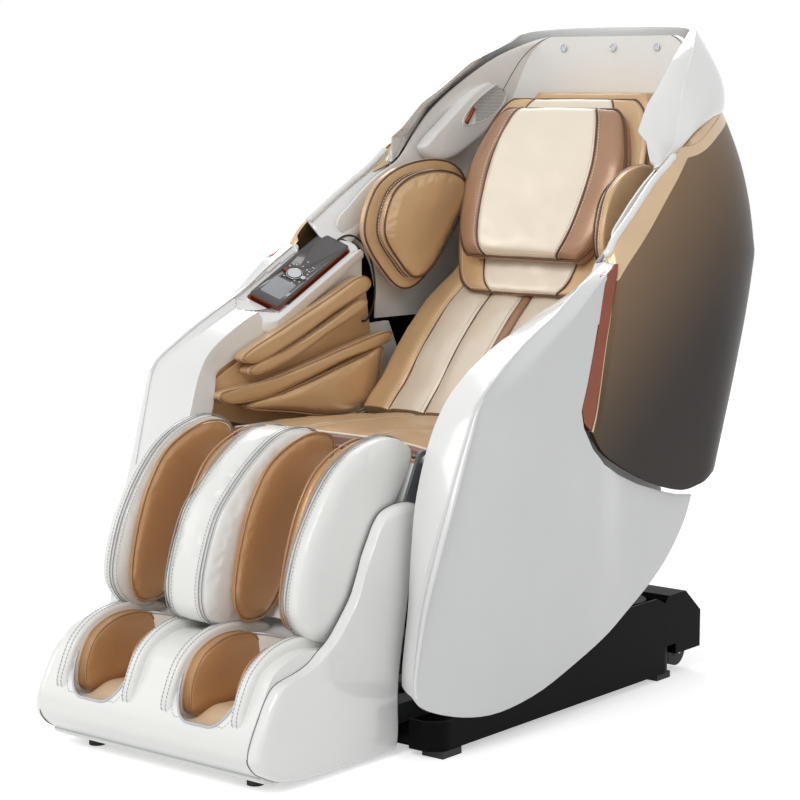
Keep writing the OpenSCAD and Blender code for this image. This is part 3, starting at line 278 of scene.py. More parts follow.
LINER_FRONT = points([[312, 268, 640], [312, 268, 700], [312, 240, 768], [316, 160, 826],
                      [312, 200, 870], [308, 262, 915], [300, 326, 950], [296, 372, 1000],
                      [284, 410, 1046], [258, 468, 1098], [220, 540, 1150], [180, 600, 1180],
                      [150, 622, 1190]])
LINER_CORNER = points([[276, 560, 640], [272, 590, 700], [268, 612, 768], [262, 620, 826],
                       [258, 620, 870], [254, 616, 915], [250, 610, 950], [244, 604, 1000],
                       [234, 602, 1046], [214, 604, 1098], [190, 608, 1150], [162, 612, 1180],
                       [140, 614, 1190]])
LINER_BACK = points([[0, 616, 640], [0, 640, 700], [0, 658, 768], [0, 664, 826], [0, 664, 870],
                     [0, 660, 915], [0, 654, 950], [0, 646, 1000], [0, 640, 1046],
                     [0, 636, 1098], [0, 632, 1150], [0, 630, 1180], [0, 630, 1190]])


def liner_point(u, v, depth):
    """Point of the wall inside the hood; u runs from right to left, v up."""
    side = 2 * u - 1
    s = abs(side)
    a, b, c = along(LINER_FRONT, v), along(LINER_CORNER, v), along(LINER_BACK, v)
    k = smooth((s - 0.5) * 2) if s > 0.5 else 0
    p = mix(b, a, (s - 0.5) * 2) if s > 0.5 else mix(c, b, s * 2)
    p = p + np.array([0.8 * smooth(s * 2), 0.8 * (1 - k), 0]) * depth
    return p * np.array([-1 if side < 0 else 1, 1, 1])


POD_OUTLINE = points([[366, 968], [396, 946], [446, 952], [530, 1000], [574, 1050], [586, 1100],
                      [560, 1112], [500, 1086], [420, 1024], [372, 984]])
GRILLE_OUTLINE = points([[462, 1020], [482, 1014], [540, 1030], [578, 1060], [588, 1098],
                         [572, 1104], [520, 1078], [478, 1046]])


# the inner wall and what sits on it close in towards the rear
WALL_LEAN = 0.16
SHOULDER_Y = 190
POD_Y = 372


def lean(p):
    """Points of a shoulder pad, moved in as the wall that carries it closes in."""
    p = np.array(p, float)
    p[..., 0] -= WALL_LEAN * (p[..., 1] - SHOULDER_Y)
    return p


BACK_LINE = points([[142, 487], [176, 525], [233, 595], [293, 655], [350, 704], [386, 752],
                    [408, 805], [438, 880], [475, 965], [492, 1003]])
BACK_PAD_W = 470.0
CHANNEL_EDGES = [-235, -172, -90, -10, 10, 90, 172, 235]


def channel_rise(x):
    """Crown of the back cushion's channel at x, from 0 at its seams to 1."""
    i = max([k for k in range(len(CHANNEL_EDGES) - 1) if x >= CHANNEL_EDGES[k]] or [0])
    t = (x - CHANNEL_EDGES[i]) / (CHANNEL_EDGES[i + 1] - CHANNEL_EDGES[i])
    return math.sqrt(max(0, 1 - abs(2 * t - 1) ** 3))


def back_point(u, v, depth):
    """Point of the back cushion; u runs across, v up, and depth 0 is its channelled face."""
    p = along(BACK_LINE, v)
    q = along(BACK_LINE, min(1, v + 0.02)) - along(BACK_LINE, max(0, v - 0.02))
    normal = unit([-q[1], q[0]])
    narrow = 1 - 0.17 * smooth((v - 0.38) / 0.2) + 0.037 * (1 - smooth((v - 0.06) / 0.1))
    x = BACK_PAD_W * (u - 0.5)
    d = depth if depth > 0 else 8 * (1 - channel_rise(x))
    return np.array([x * narrow, p[0] - normal[0] * d, p[1] - normal[1] * d])


FLAP_FACE = points([[326, 706], [346, 740], [372, 805], [402, 880], [438, 962], [474, 1040],
                    [488, 1070]])
PILLOW_FACE = points([[308, 780], [326, 815], [356, 880], [390, 955], [424, 1025], [438, 1056]])
FLAP_HALF = points([[0, 122], [0.08, 150], [0.23, 176], [0.45, 197], [0.6, 202], [0.72, 194],
                    [0.86, 168], [1, 142]])
PILLOW_HALF = points([[0, 126], [0.12, 146], [0.4, 174], [0.6, 178], [0.77, 158], [0.93, 136],
                      [1, 124]])


def hanging(face, half, t, u, v, rear):
    """Point of a cushion that hangs on the back, t thick; u runs across, v up."""
    p = along(face, v)
    side = 2 * u - 1
    edge = (math.sqrt(max(0, 1 - abs(side) ** 4))
            * math.sqrt(max(0, 1 - abs(2 * v - 1) ** 6)))
    q = along(face, min(1, v + 0.02)) - along(face, max(0, v - 0.02))
    normal = unit([q[1], -q[0]])
    d = t if rear else t * 0.5 * (1 - edge) - t * 0.16 * edge
    return np.array([curve_value(half, v) * side, p[0] + normal[0] * d, p[1] + normal[1] * d])


SHOULDER_BASE = points([[186, 810], [236, 735], [284, 702], [338, 724], [398, 800], [446, 880],
                        [440, 916], [404, 942], [338, 948], [262, 930], [208, 888]])
SHOULDER_TOP = points([[214, 812], [252, 756], [290, 724], [334, 742], [386, 806], [428, 872],
                       [424, 902], [392, 922], [336, 928], [272, 914], [230, 878]])
FLAP_UPPER = points([[-168, 608], [-60, 650], [60, 694], [150, 728], [182, 724], [176, 705],
                     [80, 670], [-30, 626], [-130, 595]])
FLAP_LOWER = points([[-150, 584], [-50, 611], [60, 650], [150, 685], [174, 682], [150, 664],
                     [60, 632], [-40, 594], [-132, 573]])
HIP_OUTLINE = points([[-160, 514], [-60, 531], [60, 555], [170, 580], [220, 590], [222, 566],
                      [196, 486], [100, 470], [-40, 492]])
HIP_WEDGE = points([[-228, 545], [-120, 554], [20, 578], [130, 600], [240, 618], [238, 600],
                    [120, 580], [0, 552], [-120, 528], [-206, 527]])
CALF_SIDE = points([[-283, 470], [-282, 503], [-330, 523], [-391, 515], [-441, 493],
                    [-480, 460], [-518, 412], [-548, 356], [-566, 290], [-557, 250],
                    [-522, 220], [-474, 218], [-410, 294], [-328, 404]])
CALF_MIDDLE = points([[-300, 500], [-340, 520], [-401, 517], [-463, 485], [-523, 435],
                      [-559, 390], [-588, 311], [-588, 256], [-562, 231], [-510, 219],
                      [-457, 226], [-396, 296], [-318, 400], [-290, 460]])
CALF_BAG = points([[-300, 496], [-345, 518], [-405, 508], [-462, 478], [-500, 430],
                   [-524, 378], [-542, 316], [-546, 265], [-525, 232], [-474, 232],
                   [-440, 264], [-395, 330], [-336, 420]])
WELL_X = 121.0
COVER_X = 234.5
FOOT_TOP = points([[-628, 14], [-672, 34], [-694, 54], [-700, 74], [-692, 100], [-666, 144],
                   [-638, 186], [-600, 204], [-560, 210], [-520, 206], [-470, 200],
                   [-440, 204], [-402, 208], [-372, 188], [-358, 100], [-354, 14]])
COVER_OUTLINE = points([[-610, 12], [-672, 34], [-696, 56], [-698, 74], [-690, 96], [-676, 122],
                        [-658, 152], [-636, 172], [-589, 182], [-558, 192], [-536, 206],
                        [-510, 222], [-480, 252], [-455, 282], [-438, 315], [-425, 346],
                        [-412, 368], [-397, 392], [-377, 409], [-341, 417], [-303, 414],
                        [-298, 392], [-326, 240], [-348, 120], [-350, 20], [-372, 6],
                        [-480, 6]])
WELL_FLOOR = points([[-692, 88], [-659, 80.2], [-560, 74.3], [-510, 86], [-490, 118]])
FOOT_PAD = points([[-644, 100], [-654, 136], [-634, 182], [-596, 205], [-550, 212], [-504, 202],
                   [-489, 164], [-512, 114], [-570, 99]])
COLLAR = points([[-662, 102], [-684, 112], [-678, 140], [-653, 184], [-611, 212], [-556, 223],
                 [-490, 217], [-448, 202], [-448, 160], [-520, 120], [-600, 94]])
REMOTE_AT = np.array([-345, -61, 705.0])
REMOTE_TILT = (math.radians(26.6), math.radians(24.7))


def on_remote(x, y, z):
    """Place of a point given in the remote's own frame, from the corner of its underside."""
    a, b = REMOTE_TILT
    px, pz = x * math.cos(b) + z * math.sin(b), z * math.cos(b) - x * math.sin(b)
    return REMOTE_AT + np.array([px, y * math.cos(a) - pz * math.sin(a),
                                 y * math.sin(a) + pz * math.cos(a)])


CORD_ROUTE = np.array([on_remote(34, 228.5, 1), on_remote(34, 236, 1), [-311, 174, 806],
                       [-306, 190, 806], [-299, 206, 796], [-291, 218, 776], [-286, 227, 748],
                       [-284, 232, 716], [-284, 232, 690], [-284, 226, 668], [-283, 214, 650],
                       [-282, 204, 643], [-284, 200, 641], [-289, 200, 641]], float)


# ---------------------------------------------------------------- meshes
def new_object(name, data):
    """Object of the scene round a mesh, a lamp or a camera."""
    made = bpy.data.objects.new(name, data)
    bpy.context.scene.collection.objects.link(made)
    return made


class Skin:
    """Points and faces of one piece, in millimetres, with the number of each face's finish."""

    def __init__(self):
        self.points, self.faces, self.tones = [], [], []

    def add(self, pts, faces, tone=0):
        base = len(self.points)
        self.points.extend(tuple(map(float, p)) for p in pts)
        self.faces.extend([base + i for i in f] for f in faces)
        self.tones.extend(tone if isinstance(tone, list) else [tone] * len(faces))
        return self

    def add_solid(self, pts, faces, tone=0):
        """Adds a closed skin, turned so that its faces point outwards."""
        pts = np.asarray(pts, float)
        origin = pts.mean(0)
        volume = 0.0
        for f in faces:
            for k in range(1, len(f) - 1):
                volume += float(np.dot(pts[f[0]] - origin,
                                       np.cross(pts[f[k]] - origin, pts[f[k + 1]] - origin)))
        return self.add(pts, faces if volume > 0 else [f[::-1] for f in faces], tone)

    def mirrored(self):
        """Adds the same on the other side of the chair."""
        twin = self.other_side()
        return self.add(twin.points, twin.faces, twin.tones)

    def other_side(self):
        """The same skin on the other side of the chair."""
        return Skin().add([(-x, y, z) for x, y, z in self.points],
                          [f[::-1] for f in self.faces], list(self.tones))

    def make(self, name, finishes):
        """The skin as a piece, in one finish or in a list of them."""
        mesh = bpy.data.meshes.new(name)
        mesh.from_pydata([(x * MM, y * MM, z * MM) for x, y, z in self.points], [], self.faces)
        for f in (finishes if isinstance(finishes, (list, tuple)) else [finishes]):
            mesh.materials.append(f)
        mesh.polygons.foreach_set("material_index", self.tones)
        mesh.polygons.foreach_set("use_smooth", [True] * len(mesh.polygons))
        mesh.update()
        return new_object(name, mesh)


def solid_between(outer, inner, us, vs):
    """Closed skin between two faces that are functions of u and v."""
    nu, nv = len(us) - 1, len(vs) - 1
    pts = [outer(u, v) for v in vs for u in us] + [inner(u, v) for v in vs for u in us]
    row, other = nu + 1, (nu + 1) * (nv + 1)
    faces = []
    for j in range(nv):
        for i in range(nu):
            a = j * row + i
            faces.append([a, a + row, a + row + 1, a + 1])
    for j in range(nv):
        for i in range(nu):
            a = other + j * row + i
            faces.append([a, a + 1, a + row + 1, a + row])
    rim = (list(range(nu)) + [j * row + nu for j in range(nv)]
           + [nv * row + i for i in range(nu, 0, -1)] + [j * row for j in range(nv, 0, -1)])
    for k, a in enumerate(rim):
        b = rim[(k + 1) % len(rim)]
        faces.append([a, b, b + other, a + other])
    return pts, faces


def shell(point, outer, inner, us, vs):
    """Skin between two depths of a face that is a function of u, v and depth."""
    return Skin().add_solid(*solid_between(lambda u, v: point(u, v, outer),
                                           lambda u, v: point(u, v, inner), us, vs))


def stack(rings):
    """Closed skin through a stack of rings, closed at each end round a middle point."""
    n, m = len(rings[0]), len(rings)
    pts = [p for r in rings for p in r]
    faces = []
    for j in range(m - 1):
        for i in range(n):
            a, b = j * n + i, j * n + (i + 1) % n
            faces.append([a, a + n, b + n, b])
    for ring, first, turn in ((rings[0], 0, 1), (rings[-1], (m - 1) * n, -1)):
        pts.append(np.mean(ring, axis=0))
        c = len(pts) - 1
        for i in range(n):
            faces.append([first + i, first + (i + 1) % n, c][::turn])
    return pts, faces


def dome(k):
    """Height of a pad's crown at a share k of the way from its middle to its edge."""
    return 1.06 * max(0.0, 1 - k ** 2.6) ** 0.55


def edge_of(outline, n):
    """Smooth closed edge of an outline, its middle and its outward directions."""
    edge = closed(outline, n)
    tangent = np.roll(edge, -1, 0) - np.roll(edge, 1, 0)
    normal = np.stack([tangent[:, 1], -tangent[:, 0]], 1)
    normal /= np.linalg.norm(normal, axis=1)[:, None]
    area = np.sum(edge[:, 0] * np.roll(edge[:, 1], -1) - np.roll(edge[:, 0], -1) * edge[:, 1])
    return edge, edge.mean(0), -normal if area < 0 else normal


def pad(outline, x0, x1, bulge, crown=3.0, n=72, layers=10, walls=8):
    """Crowned pad: the outline from x0 to x1, domed on each face, with a bowed side wall."""
    edge, middle, normal = edge_of(outline, n)

    def ring(x, k, out=0.0):
        q = middle + (edge - middle) * k + normal * out
        return np.column_stack([np.full(n, x), q])

    ks = [math.sin(math.pi / 2 * (i + 0.6) / layers) for i in range(layers - 1)]
    rings = [ring(x0 - bulge * dome(k), k) for k in ks]
    rings += [ring(mix(x0, x1, i / walls), 1,
                   crown * math.sqrt(max(0, 1 - (2 * i / walls - 1) ** 4)) if crown else 0)
              for i in range(walls + 1)]
    rings += [ring(x1 + bulge * dome(k), k) for k in reversed(ks)]
    return stack(rings)


def outline_loop(outline, x, n, out, k=1.0):
    """Closed line round an outline at x, scaled by k and moved out of it by out."""
    edge, middle, normal = edge_of(outline, n)
    q = middle + (edge - middle) * k + normal * out
    return np.column_stack([np.full(n, x), q])


def sweep(path, radius, sides=8, loop=False):
    """Round tube along a path."""
    p = np.array(path, float)
    n = len(p)
    nxt, prv = np.roll(p, -1, 0), np.roll(p, 1, 0)
    if not loop:
        nxt[-1], prv[0] = p[-1], p[0]
    d = nxt - prv
    d /= np.maximum(1e-9, np.linalg.norm(d, axis=1))[:, None]
    ref = np.array([1.0, 0, 0]) if abs(d[0][0]) < 0.8 else np.array([0, 0, 1.0])
    a = [unit(ref - d[0] * np.dot(ref, d[0]))]
    for i in range(1, n + (1 if loop else 0)):
        di = d[i % n]
        a.append(unit(a[-1] - di * np.dot(a[-1], di)))
    twist = 0.0
    if loop:
        b0 = np.cross(d[0], a[0])
        twist = -math.atan2(np.dot(a[n], b0), np.dot(a[n], a[0]))
    rings = []
    for i in range(n):
        b = np.cross(d[i], a[i])
        turn = twist * i / n
        rings.append([p[i] + radius * (a[i] * math.cos(2 * math.pi * k / sides + turn)
                                       + b * math.sin(2 * math.pi * k / sides + turn))
                      for k in range(sides)])
    if not loop:
        return stack(rings)
    pts = [q for r in rings for q in r]
    faces = []
    for j in range(n):
        for i in range(sides):
            e, f = j * sides + i, j * sides + (i + 1) % sides
            g = ((j + 1) % n) * sides
            faces.append([e, g + i, g + (i + 1) % sides, f])
    return pts, faces


def box_skin(lo, hi):
    """Box between two corners."""
    (x0, y0, z0), (x1, y1, z1) = lo, hi
    pts = [(x, y, z) for z in (z0, z1) for y in (y0, y1) for x in (x0, x1)]
    faces = [[0, 2, 3, 1], [4, 5, 7, 6], [0, 1, 5, 4], [2, 6, 7, 3], [0, 4, 6, 2], [1, 3, 7, 5]]
    return pts, faces


def circle(x, y, r, n):
    """n points round a circle."""
    return [(x + r * math.cos(a), y + r * math.sin(a))
            for a in np.linspace(0, 2 * math.pi, n, endpoint=False)]


def round_rect(x0, y0, w, l, r, n=6):
    """Rectangle from its low corner, w wide and l long, with corners of radius r."""
    out = []
    for cx, cy, start in ((x0 + w - r, y0 + r, -90), (x0 + w - r, y0 + l - r, 0),
                          (x0 + r, y0 + l - r, 90), (x0 + r, y0 + r, 180)):
        for k in range(n + 1):
            a = math.radians(start + 90 * k / n)
            out.append((cx + r * math.cos(a), cy + r * math.sin(a)))
    return out


EDGE_STEPS = 3


def prism(outline, z0, z1, place, edge=0.0):
    """Closed plate on a flat outline, its upper edge rounded by edge."""
    c = np.mean(outline, axis=0)
    span = np.array(outline) - c
    size = np.abs(span).max(0)
    rings = [[place(x, y, z0) for x, y in outline], [place(x, y, z1 - edge) for x, y in outline]]
    for k in range(1, EDGE_STEPS + 1 if edge else 1):
        a = math.pi / 2 * k / EDGE_STEPS
        inset = edge * (1 - math.cos(a))
        q = c + span * (1 - inset / size)
        rings.append([place(x, y, z1 - edge + edge * math.sin(a)) for x, y in q])
    return stack([np.array(r) for r in rings])


def soften(piece, width, segments=3, angle=40):
    """Rounds the sharp edges of a piece by width, in millimetres."""
    m = piece.modifiers.new("Soft edges", "BEVEL")
    m.width = width * MM
    m.segments = segments
    m.limit_method = "ANGLE"
    m.angle_limit = math.radians(angle)
    m.use_clamp_overlap = True
    return piece


def plain(piece):
    """Turns a piece with modifiers into a plain mesh of the same name."""
    graph = bpy.context.evaluated_depsgraph_get()
    mesh = bpy.data.meshes.new_from_object(piece.evaluated_get(graph), depsgraph=graph)
    name = piece.name
    bpy.data.objects.remove(piece)
    return new_object(name, mesh)


def rumple(piece, amount, size, seed=0.0):
    """Moves the skin of a soft piece in and out by amount, in waves of the given size."""
    mesh = piece.data
    mesh.update()
    normals = [v.normal.copy() for v in mesh.vertices]
    for v, n in zip(mesh.vertices, normals):
        q = v.co / (size * MM) + Vector((seed, 7.3, 1.9))
        v.co += n * (noise.noise(q) + 0.4 * noise.noise(q * 2.3)) * amount * MM
    mesh.update()
    return piece


def put(piece, body, nodes=()):
    """Gives a piece its body and hides the nodes it stands for."""
    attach(piece, body)
    if nodes:
        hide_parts(*nodes)
    return piece


# ---------------------------------------------------------------- finishes
def tone(r, g, b):
    """Linear colour of a colour given as 0 to 255 on a screen."""
    return tuple(((c / 255 + 0.055) / 1.055) ** 2.4 if c > 10 else c / 255 / 12.92
                 for c in (r, g, b))


def node(tree, kind, place, **settings):
    """Adds a node to a tree, with its settings."""
    n = tree.nodes.new(kind)
    n.location = place
    for name, value in settings.items():
        setattr(n, name, value)
    return n


def feed(n, values):
    """Sets inputs of a node, each by its name or its number."""
    for key, value in values.items():
        n.inputs[key].default_value = value
    return n


# sockets of a Mix node that blends colours
COLOUR_A, COLOUR_B, COLOUR_OUT = 6, 7, 2


def finish(name, colour, rough, metal=0.0, coat=0.0, shift=0.05, shift_size=90.0, grain=0.0,
           grain_size=1.2, crease=0.0, crease_size=40.0, sheen=0.0, specular=0.5,
           rough_shift=0.05, brushed=None):
    """Surface with colour variation, roughness variation, fine grain and soft creases."""
    m = bpy.data.materials.new(name)
    m.use_nodes = True
    m.diffuse_color = (*colour, 1)
    t = m.node_tree
    link = t.links.new
    s = feed(t.nodes["Principled BSDF"], {
        "Metallic": metal, "Coat Weight": coat, "Coat Roughness": 0.06,
        "Specular IOR Level": specular, "Sheen Weight": sheen})
    where = node(t, "ShaderNodeTexCoord", (-1300, 0))
    spread = node(t, "ShaderNodeMapping", (-1120, 0))
    if brushed:
        feed(spread, {"Scale": brushed})
    link(where.outputs["Object"], spread.inputs["Vector"])
    clouds = feed(node(t, "ShaderNodeTexNoise", (-900, 200)),
                  {"Scale": 1000 / shift_size, "Detail": 5})
    link(spread.outputs["Vector"], clouds.inputs["Vector"])
    dark = tuple(c * (1 - shift) for c in colour)
    light = tuple(min(1, c * (1 + shift)) for c in colour)
    blend = feed(node(t, "ShaderNodeMix", (-560, 240), data_type="RGBA"),
                 {COLOUR_A: (*dark, 1), COLOUR_B: (*light, 1)})
    even = feed(node(t, "ShaderNodeMapRange", (-740, 240)), {"From Min": 0.3, "From Max": 0.7})
    link(clouds.outputs["Fac"], even.inputs["Value"])
    link(even.outputs["Result"], blend.inputs[0])
    link(blend.outputs[COLOUR_OUT], s.inputs["Base Color"])
    wear = feed(node(t, "ShaderNodeMapRange", (-560, -20)),
                {"To Min": clamp(rough - rough_shift, 0.02), "To Max": clamp(rough + rough_shift)})
    link(clouds.outputs["Fac"], wear.inputs["Value"])
    link(wear.outputs["Result"], s.inputs["Roughness"])
    last = None
    if crease:
        folds = feed(node(t, "ShaderNodeTexNoise", (-900, -260)),
                     {"Scale": 1000 / crease_size, "Detail": 3, "Distortion": 0.4})
        link(where.outputs["Object"], folds.inputs["Vector"])
        last = feed(node(t, "ShaderNodeBump", (-380, -260)),
                    {"Strength": 0.6, "Distance": crease * MM})
        link(folds.outputs["Fac"], last.inputs["Height"])
    if grain:
        cells = feed(node(t, "ShaderNodeTexVoronoi", (-900, -520), feature="SMOOTH_F1"),
                     {"Scale": 1000 / grain_size, "Smoothness": 0.6})
        link(spread.outputs["Vector"], cells.inputs["Vector"])
        fine = feed(node(t, "ShaderNodeBump", (-200, -300)),
                    {"Strength": 0.35, "Distance": grain * MM})
        link(cells.outputs["Distance"], fine.inputs["Height"])
        if last:
            link(last.outputs["Normal"], fine.inputs["Normal"])
        last = fine
    if last:
        link(last.outputs["Normal"], s.inputs["Normal"])
    return m


FINISHES = {}


def finishes():
    """All finishes of the chair, made once, the main ones from the colours in the panel."""
    if FINISHES:
        return FINISHES
    lacquer = bpy.context.scene.chair_shells
    hide = bpy.context.scene.chair_leather
    g = hide.grain_size

    def leather(name, colour, crease=1.1, shift=0.045, metal=0.2):
        return finish(name, tuple(colour), 0.34, metal, 0.14, shift=shift, shift_size=110,
                      grain=0.14, grain_size=g, crease=crease, crease_size=46, sheen=0.05,
                      rough_shift=0.06)

    FINISHES.update(
        pearl=finish("Pearl lacquer", tuple(lacquer.pearl), 0.24, coat=0.7, shift=0.02,
                     shift_size=160, grain=0.012, grain_size=0.7, rough_shift=0.03),
        white=finish("White gloss", tuple(lacquer.white), 0.2, coat=0.6, shift=0.015,
                     shift_size=140, grain=0.01, grain_size=0.8, rough_shift=0.03),
        liner=finish("Liner satin", tuple(lacquer.liner), 0.42, shift=0.03, shift_size=120,
                     grain=0.03, grain_size=0.9),
        bronze=bronze_finish("Bronze metallic", tuple(lacquer.bronze), tuple(lacquer.bronze_painted_shade)),
        champagne=finish("Champagne metallic", tuple(lacquer.champagne), 0.34, metal=0.45, coat=0.4,
                         shift=0.05, shift_size=60, grain=0.01, grain_size=0.5),
        copper=finish("Copper metallic", tuple(lacquer.copper), 0.3, metal=0.7, coat=0.2, shift=0.08,
                      shift_size=50, grain=0.01, grain_size=0.5),
        tan=leather("Tan leather", hide.tan),
        cream=leather("Cream leather", hide.cream, 0.8, 0.015),
        brown=leather("Brown leather", hide.brown, 1.3),
        mauve=leather("Mauve brown leather", hide.band, 1.6),
        deep_tan=leather("Deep tan leather", hide.deep_tan),
        sole=leather("Sole leather", hide.sole, 0.8),
        white_leather=leather("White leather", hide.white, 0.4, 0.01, 0),
        silver=finish("Silver piping", tone(190, 191, 197), 0.4, metal=0.3, shift=0.04,
                      shift_size=30, grain=0.03, grain_size=0.5),
        dark_piping=leather("Dark piping", hide.dark_piping, 0.3),
        tan_piping=leather("Tan piping", hide.tan_piping, 0.3),
        grey_piping=leather("Grey piping", hide.grey_piping, 0.3),
        thread=finish("Cream thread", tone(238, 228, 212), 0.6, shift=0.08, shift_size=4,
                      grain=0.05, grain_size=0.4),
        grey_thread=finish("Grey thread", tone(176, 176, 174), 0.6, shift=0.08, shift_size=4,
                           grain=0.05, grain_size=0.4),
        black=finish("Black moulded plastic", tone(9, 8, 8), 0.5, shift=0.12, shift_size=60,
                     grain=0.05, grain_size=0.9, specular=0.06),
        graphite=finish("Graphite moulded plastic", tone(58, 58, 62), 0.42, shift=0.08,
                        shift_size=50, grain=0.04, grain_size=0.8),
        rubber=finish("Black rubber", tone(28, 28, 28), 0.68, shift=0.15, shift_size=30,
                      grain=0.08, grain_size=1.4),
        steel=finish("Powder coated steel", tone(120, 123, 127), 0.5, metal=0.35, shift=0.07,
                     shift_size=35, grain=0.05, grain_size=0.6),
        bright=finish("Bright steel", tone(200, 202, 206), 0.22, metal=0.95, shift=0.04,
                      shift_size=30, grain=0.006, grain_size=0.4, brushed=(1, 1, 14)),
        face=finish("Remote face", tone(66, 61, 62), 0.26, coat=0.35, shift=0.05, shift_size=40,
                    grain=0.01, grain_size=0.5),
        screen=finish("Screen glass", tone(150, 152, 158), 0.14, coat=0.5, shift=0.03,
                      shift_size=30),
        mark=finish("Printed marks", tone(205, 202, 198), 0.5, shift=0.04, shift_size=10),
        red=finish("Red rocker", tone(168, 34, 30), 0.35, shift=0.06, shift_size=20),
        lens=finish("Lamp lens", tone(214, 222, 232), 0.12, coat=0.5, shift=0.03, shift_size=8),
        hole=finish("Perforation", tone(92, 88, 84), 0.7, shift=0.05, shift_size=10),
        trim=finish("Lower trim", tone(196, 204, 198), 0.3, coat=0.3, shift=0.03, shift_size=60),
    )
    return FINISHES


def bronze_finish(name, light, low):
    """Metallic lacquer with painted shade that deepens from the top of the panel to its lower rear,
    in place of the darker reflections there.
    """
    m = finish(name, light, 0.4, metal=0.25, coat=0.05, shift=0.03, shift_size=120, grain=0.008,
               grain_size=0.5, rough_shift=0.03, specular=0.2)
    t = m.node_tree
    link = t.links.new
    base = t.nodes["Principled BSDF"].inputs["Base Color"]
    light_side = base.links[0].from_socket
    where = node(t, "ShaderNodeTexCoord", (-1300, 620))
    parts = node(t, "ShaderNodeSeparateXYZ", (-1120, 620))
    link(where.outputs["Object"], parts.inputs["Vector"])
    slope = feed(node(t, "ShaderNodeMath", (-940, 620), operation="MULTIPLY_ADD"),
                 {1: 0.75, 2: 0.72})
    link(parts.outputs["Y"], slope.inputs[0])
    fall = node(t, "ShaderNodeMath", (-760, 620), operation="SUBTRACT")
    link(slope.outputs[0], fall.inputs[0])
    link(parts.outputs["Z"], fall.inputs[1])
    span = feed(node(t, "ShaderNodeMapRange", (-580, 620), interpolation_type="SMOOTHSTEP"),
                {"From Min": -0.3, "From Max": 0.42})
    link(fall.outputs[0], span.inputs["Value"])
    # painted shade: the colour blends to the dark low colour towards the lower rear of the panel
    painted_shade_blend = feed(node(t, "ShaderNodeMix", (-380, 520), data_type="RGBA"), {COLOUR_B: (*low, 1)})
    link(span.outputs["Result"], painted_shade_blend.inputs[0])
    link(light_side, painted_shade_blend.inputs[COLOUR_A])
    link(painted_shade_blend.outputs[COLOUR_OUT], base)
    return m


# ---------------------------------------------------------------- what repeats
def new_tree(name, inputs):
    """Node tree that takes and gives a mesh, with inputs of (name, kind, value)."""
    tree = bpy.data.node_groups.new(name, "GeometryNodeTree")
    tree.interface.new_socket("Geometry", in_out="INPUT", socket_type="NodeSocketGeometry")
    for label, kind, value in inputs:
        s = tree.interface.new_socket(label, in_out="INPUT", socket_type=kind)
        if value is not None:
            s.default_value = value
    tree.interface.new_socket("Geometry", in_out="OUTPUT", socket_type="NodeSocketGeometry")
    return tree


def run_tree(piece, tree, values):
    """Runs a node tree on a piece and returns the result as a plain piece."""
    m = piece.modifiers.new(tree.name, "NODES")
    m.node_group = tree
    names = {s.name: s.identifier for s in tree.interface.items_tree
             if s.item_type == "SOCKET" and s.in_out == "INPUT"}
    for label, value in values.items():
        m[names[label]] = value
    return plain(piece)


def add_rods(t, given, spots, facing, radius, depth, coat):
    """Ends a tree in cylinders at its spots, turned to a direction, made real and painted."""
    aim = t.nodes.new("FunctionNodeAlignRotationToVector")
    aim.axis = "Z"
    shape = t.nodes.new("GeometryNodeMeshCylinder")
    copy = t.nodes.new("GeometryNodeInstanceOnPoints")
    real = t.nodes.new("GeometryNodeRealizeInstances")
    paint = t.nodes.new("GeometryNodeSetMaterial")
    end = t.nodes.new("NodeGroupOutput")
    link = t.links.new
    link(given.outputs[radius], shape.inputs["Radius"])
    link(given.outputs[depth], shape.inputs["Depth"])
    link(spots, copy.inputs["Points"])
    link(shape.outputs["Mesh"], copy.inputs["Instance"])
    link(facing, aim.inputs["Vector"])
    link(aim.outputs["Rotation"], copy.inputs["Rotation"])
    link(copy.outputs["Instances"], real.inputs["Geometry"])
    link(real.outputs["Geometry"], paint.inputs["Geometry"])
    link(given.outputs[coat], paint.inputs["Material"])
    link(paint.outputs["Geometry"], end.inputs["Geometry"])
    return shape


def stitch_tree():
    """Stitches of a set pitch along the edges of a mesh."""
    found = bpy.data.node_groups.get("Stitches")
    if found:
        return found
    t = new_tree("Stitches", [("Pitch", "NodeSocketFloat", 0.006),
                              ("Stitch length", "NodeSocketFloat", 0.0042),
                              ("Thread radius", "NodeSocketFloat", 0.0005),
                              ("Thread", "NodeSocketMaterial", None)])
    given = t.nodes.new("NodeGroupInput")
    line = t.nodes.new("GeometryNodeMeshToCurve")
    even = t.nodes.new("GeometryNodeResampleCurve")
    even.mode = "LENGTH"
    tangent = t.nodes.new("GeometryNodeInputTangent")
    t.links.new(given.outputs["Geometry"], line.inputs["Mesh"])
    t.links.new(line.outputs["Curve"], even.inputs["Curve"])
    t.links.new(given.outputs["Pitch"], even.inputs["Length"])
    shape = add_rods(t, given, even.outputs["Curve"], tangent.outputs["Tangent"],
                     "Thread radius", "Stitch length", "Thread")
    shape.inputs["Vertices"].default_value = 5
    return t


def hole_tree():
    """Round dimples or heads at the points of a mesh, each turned to its facing direction."""
    found = bpy.data.node_groups.get("Perforations")
    if found:
        return found
    t = new_tree("Perforations", [("Radius", "NodeSocketFloat", 0.0016),
                                  ("Depth", "NodeSocketFloat", 0.0008),
                                  ("Sides", "NodeSocketInt", 8),
                                  ("Finish", "NodeSocketMaterial", None)])
    given = t.nodes.new("NodeGroupInput")
    facing = t.nodes.new("GeometryNodeInputNamedAttribute")
    facing.data_type = "FLOAT_VECTOR"
    facing.inputs["Name"].default_value = "facing"
    shape = add_rods(t, given, given.outputs["Geometry"], facing.outputs["Attribute"],
                     "Radius", "Depth", "Finish")
    t.links.new(given.outputs["Sides"], shape.inputs["Vertices"])
    return t


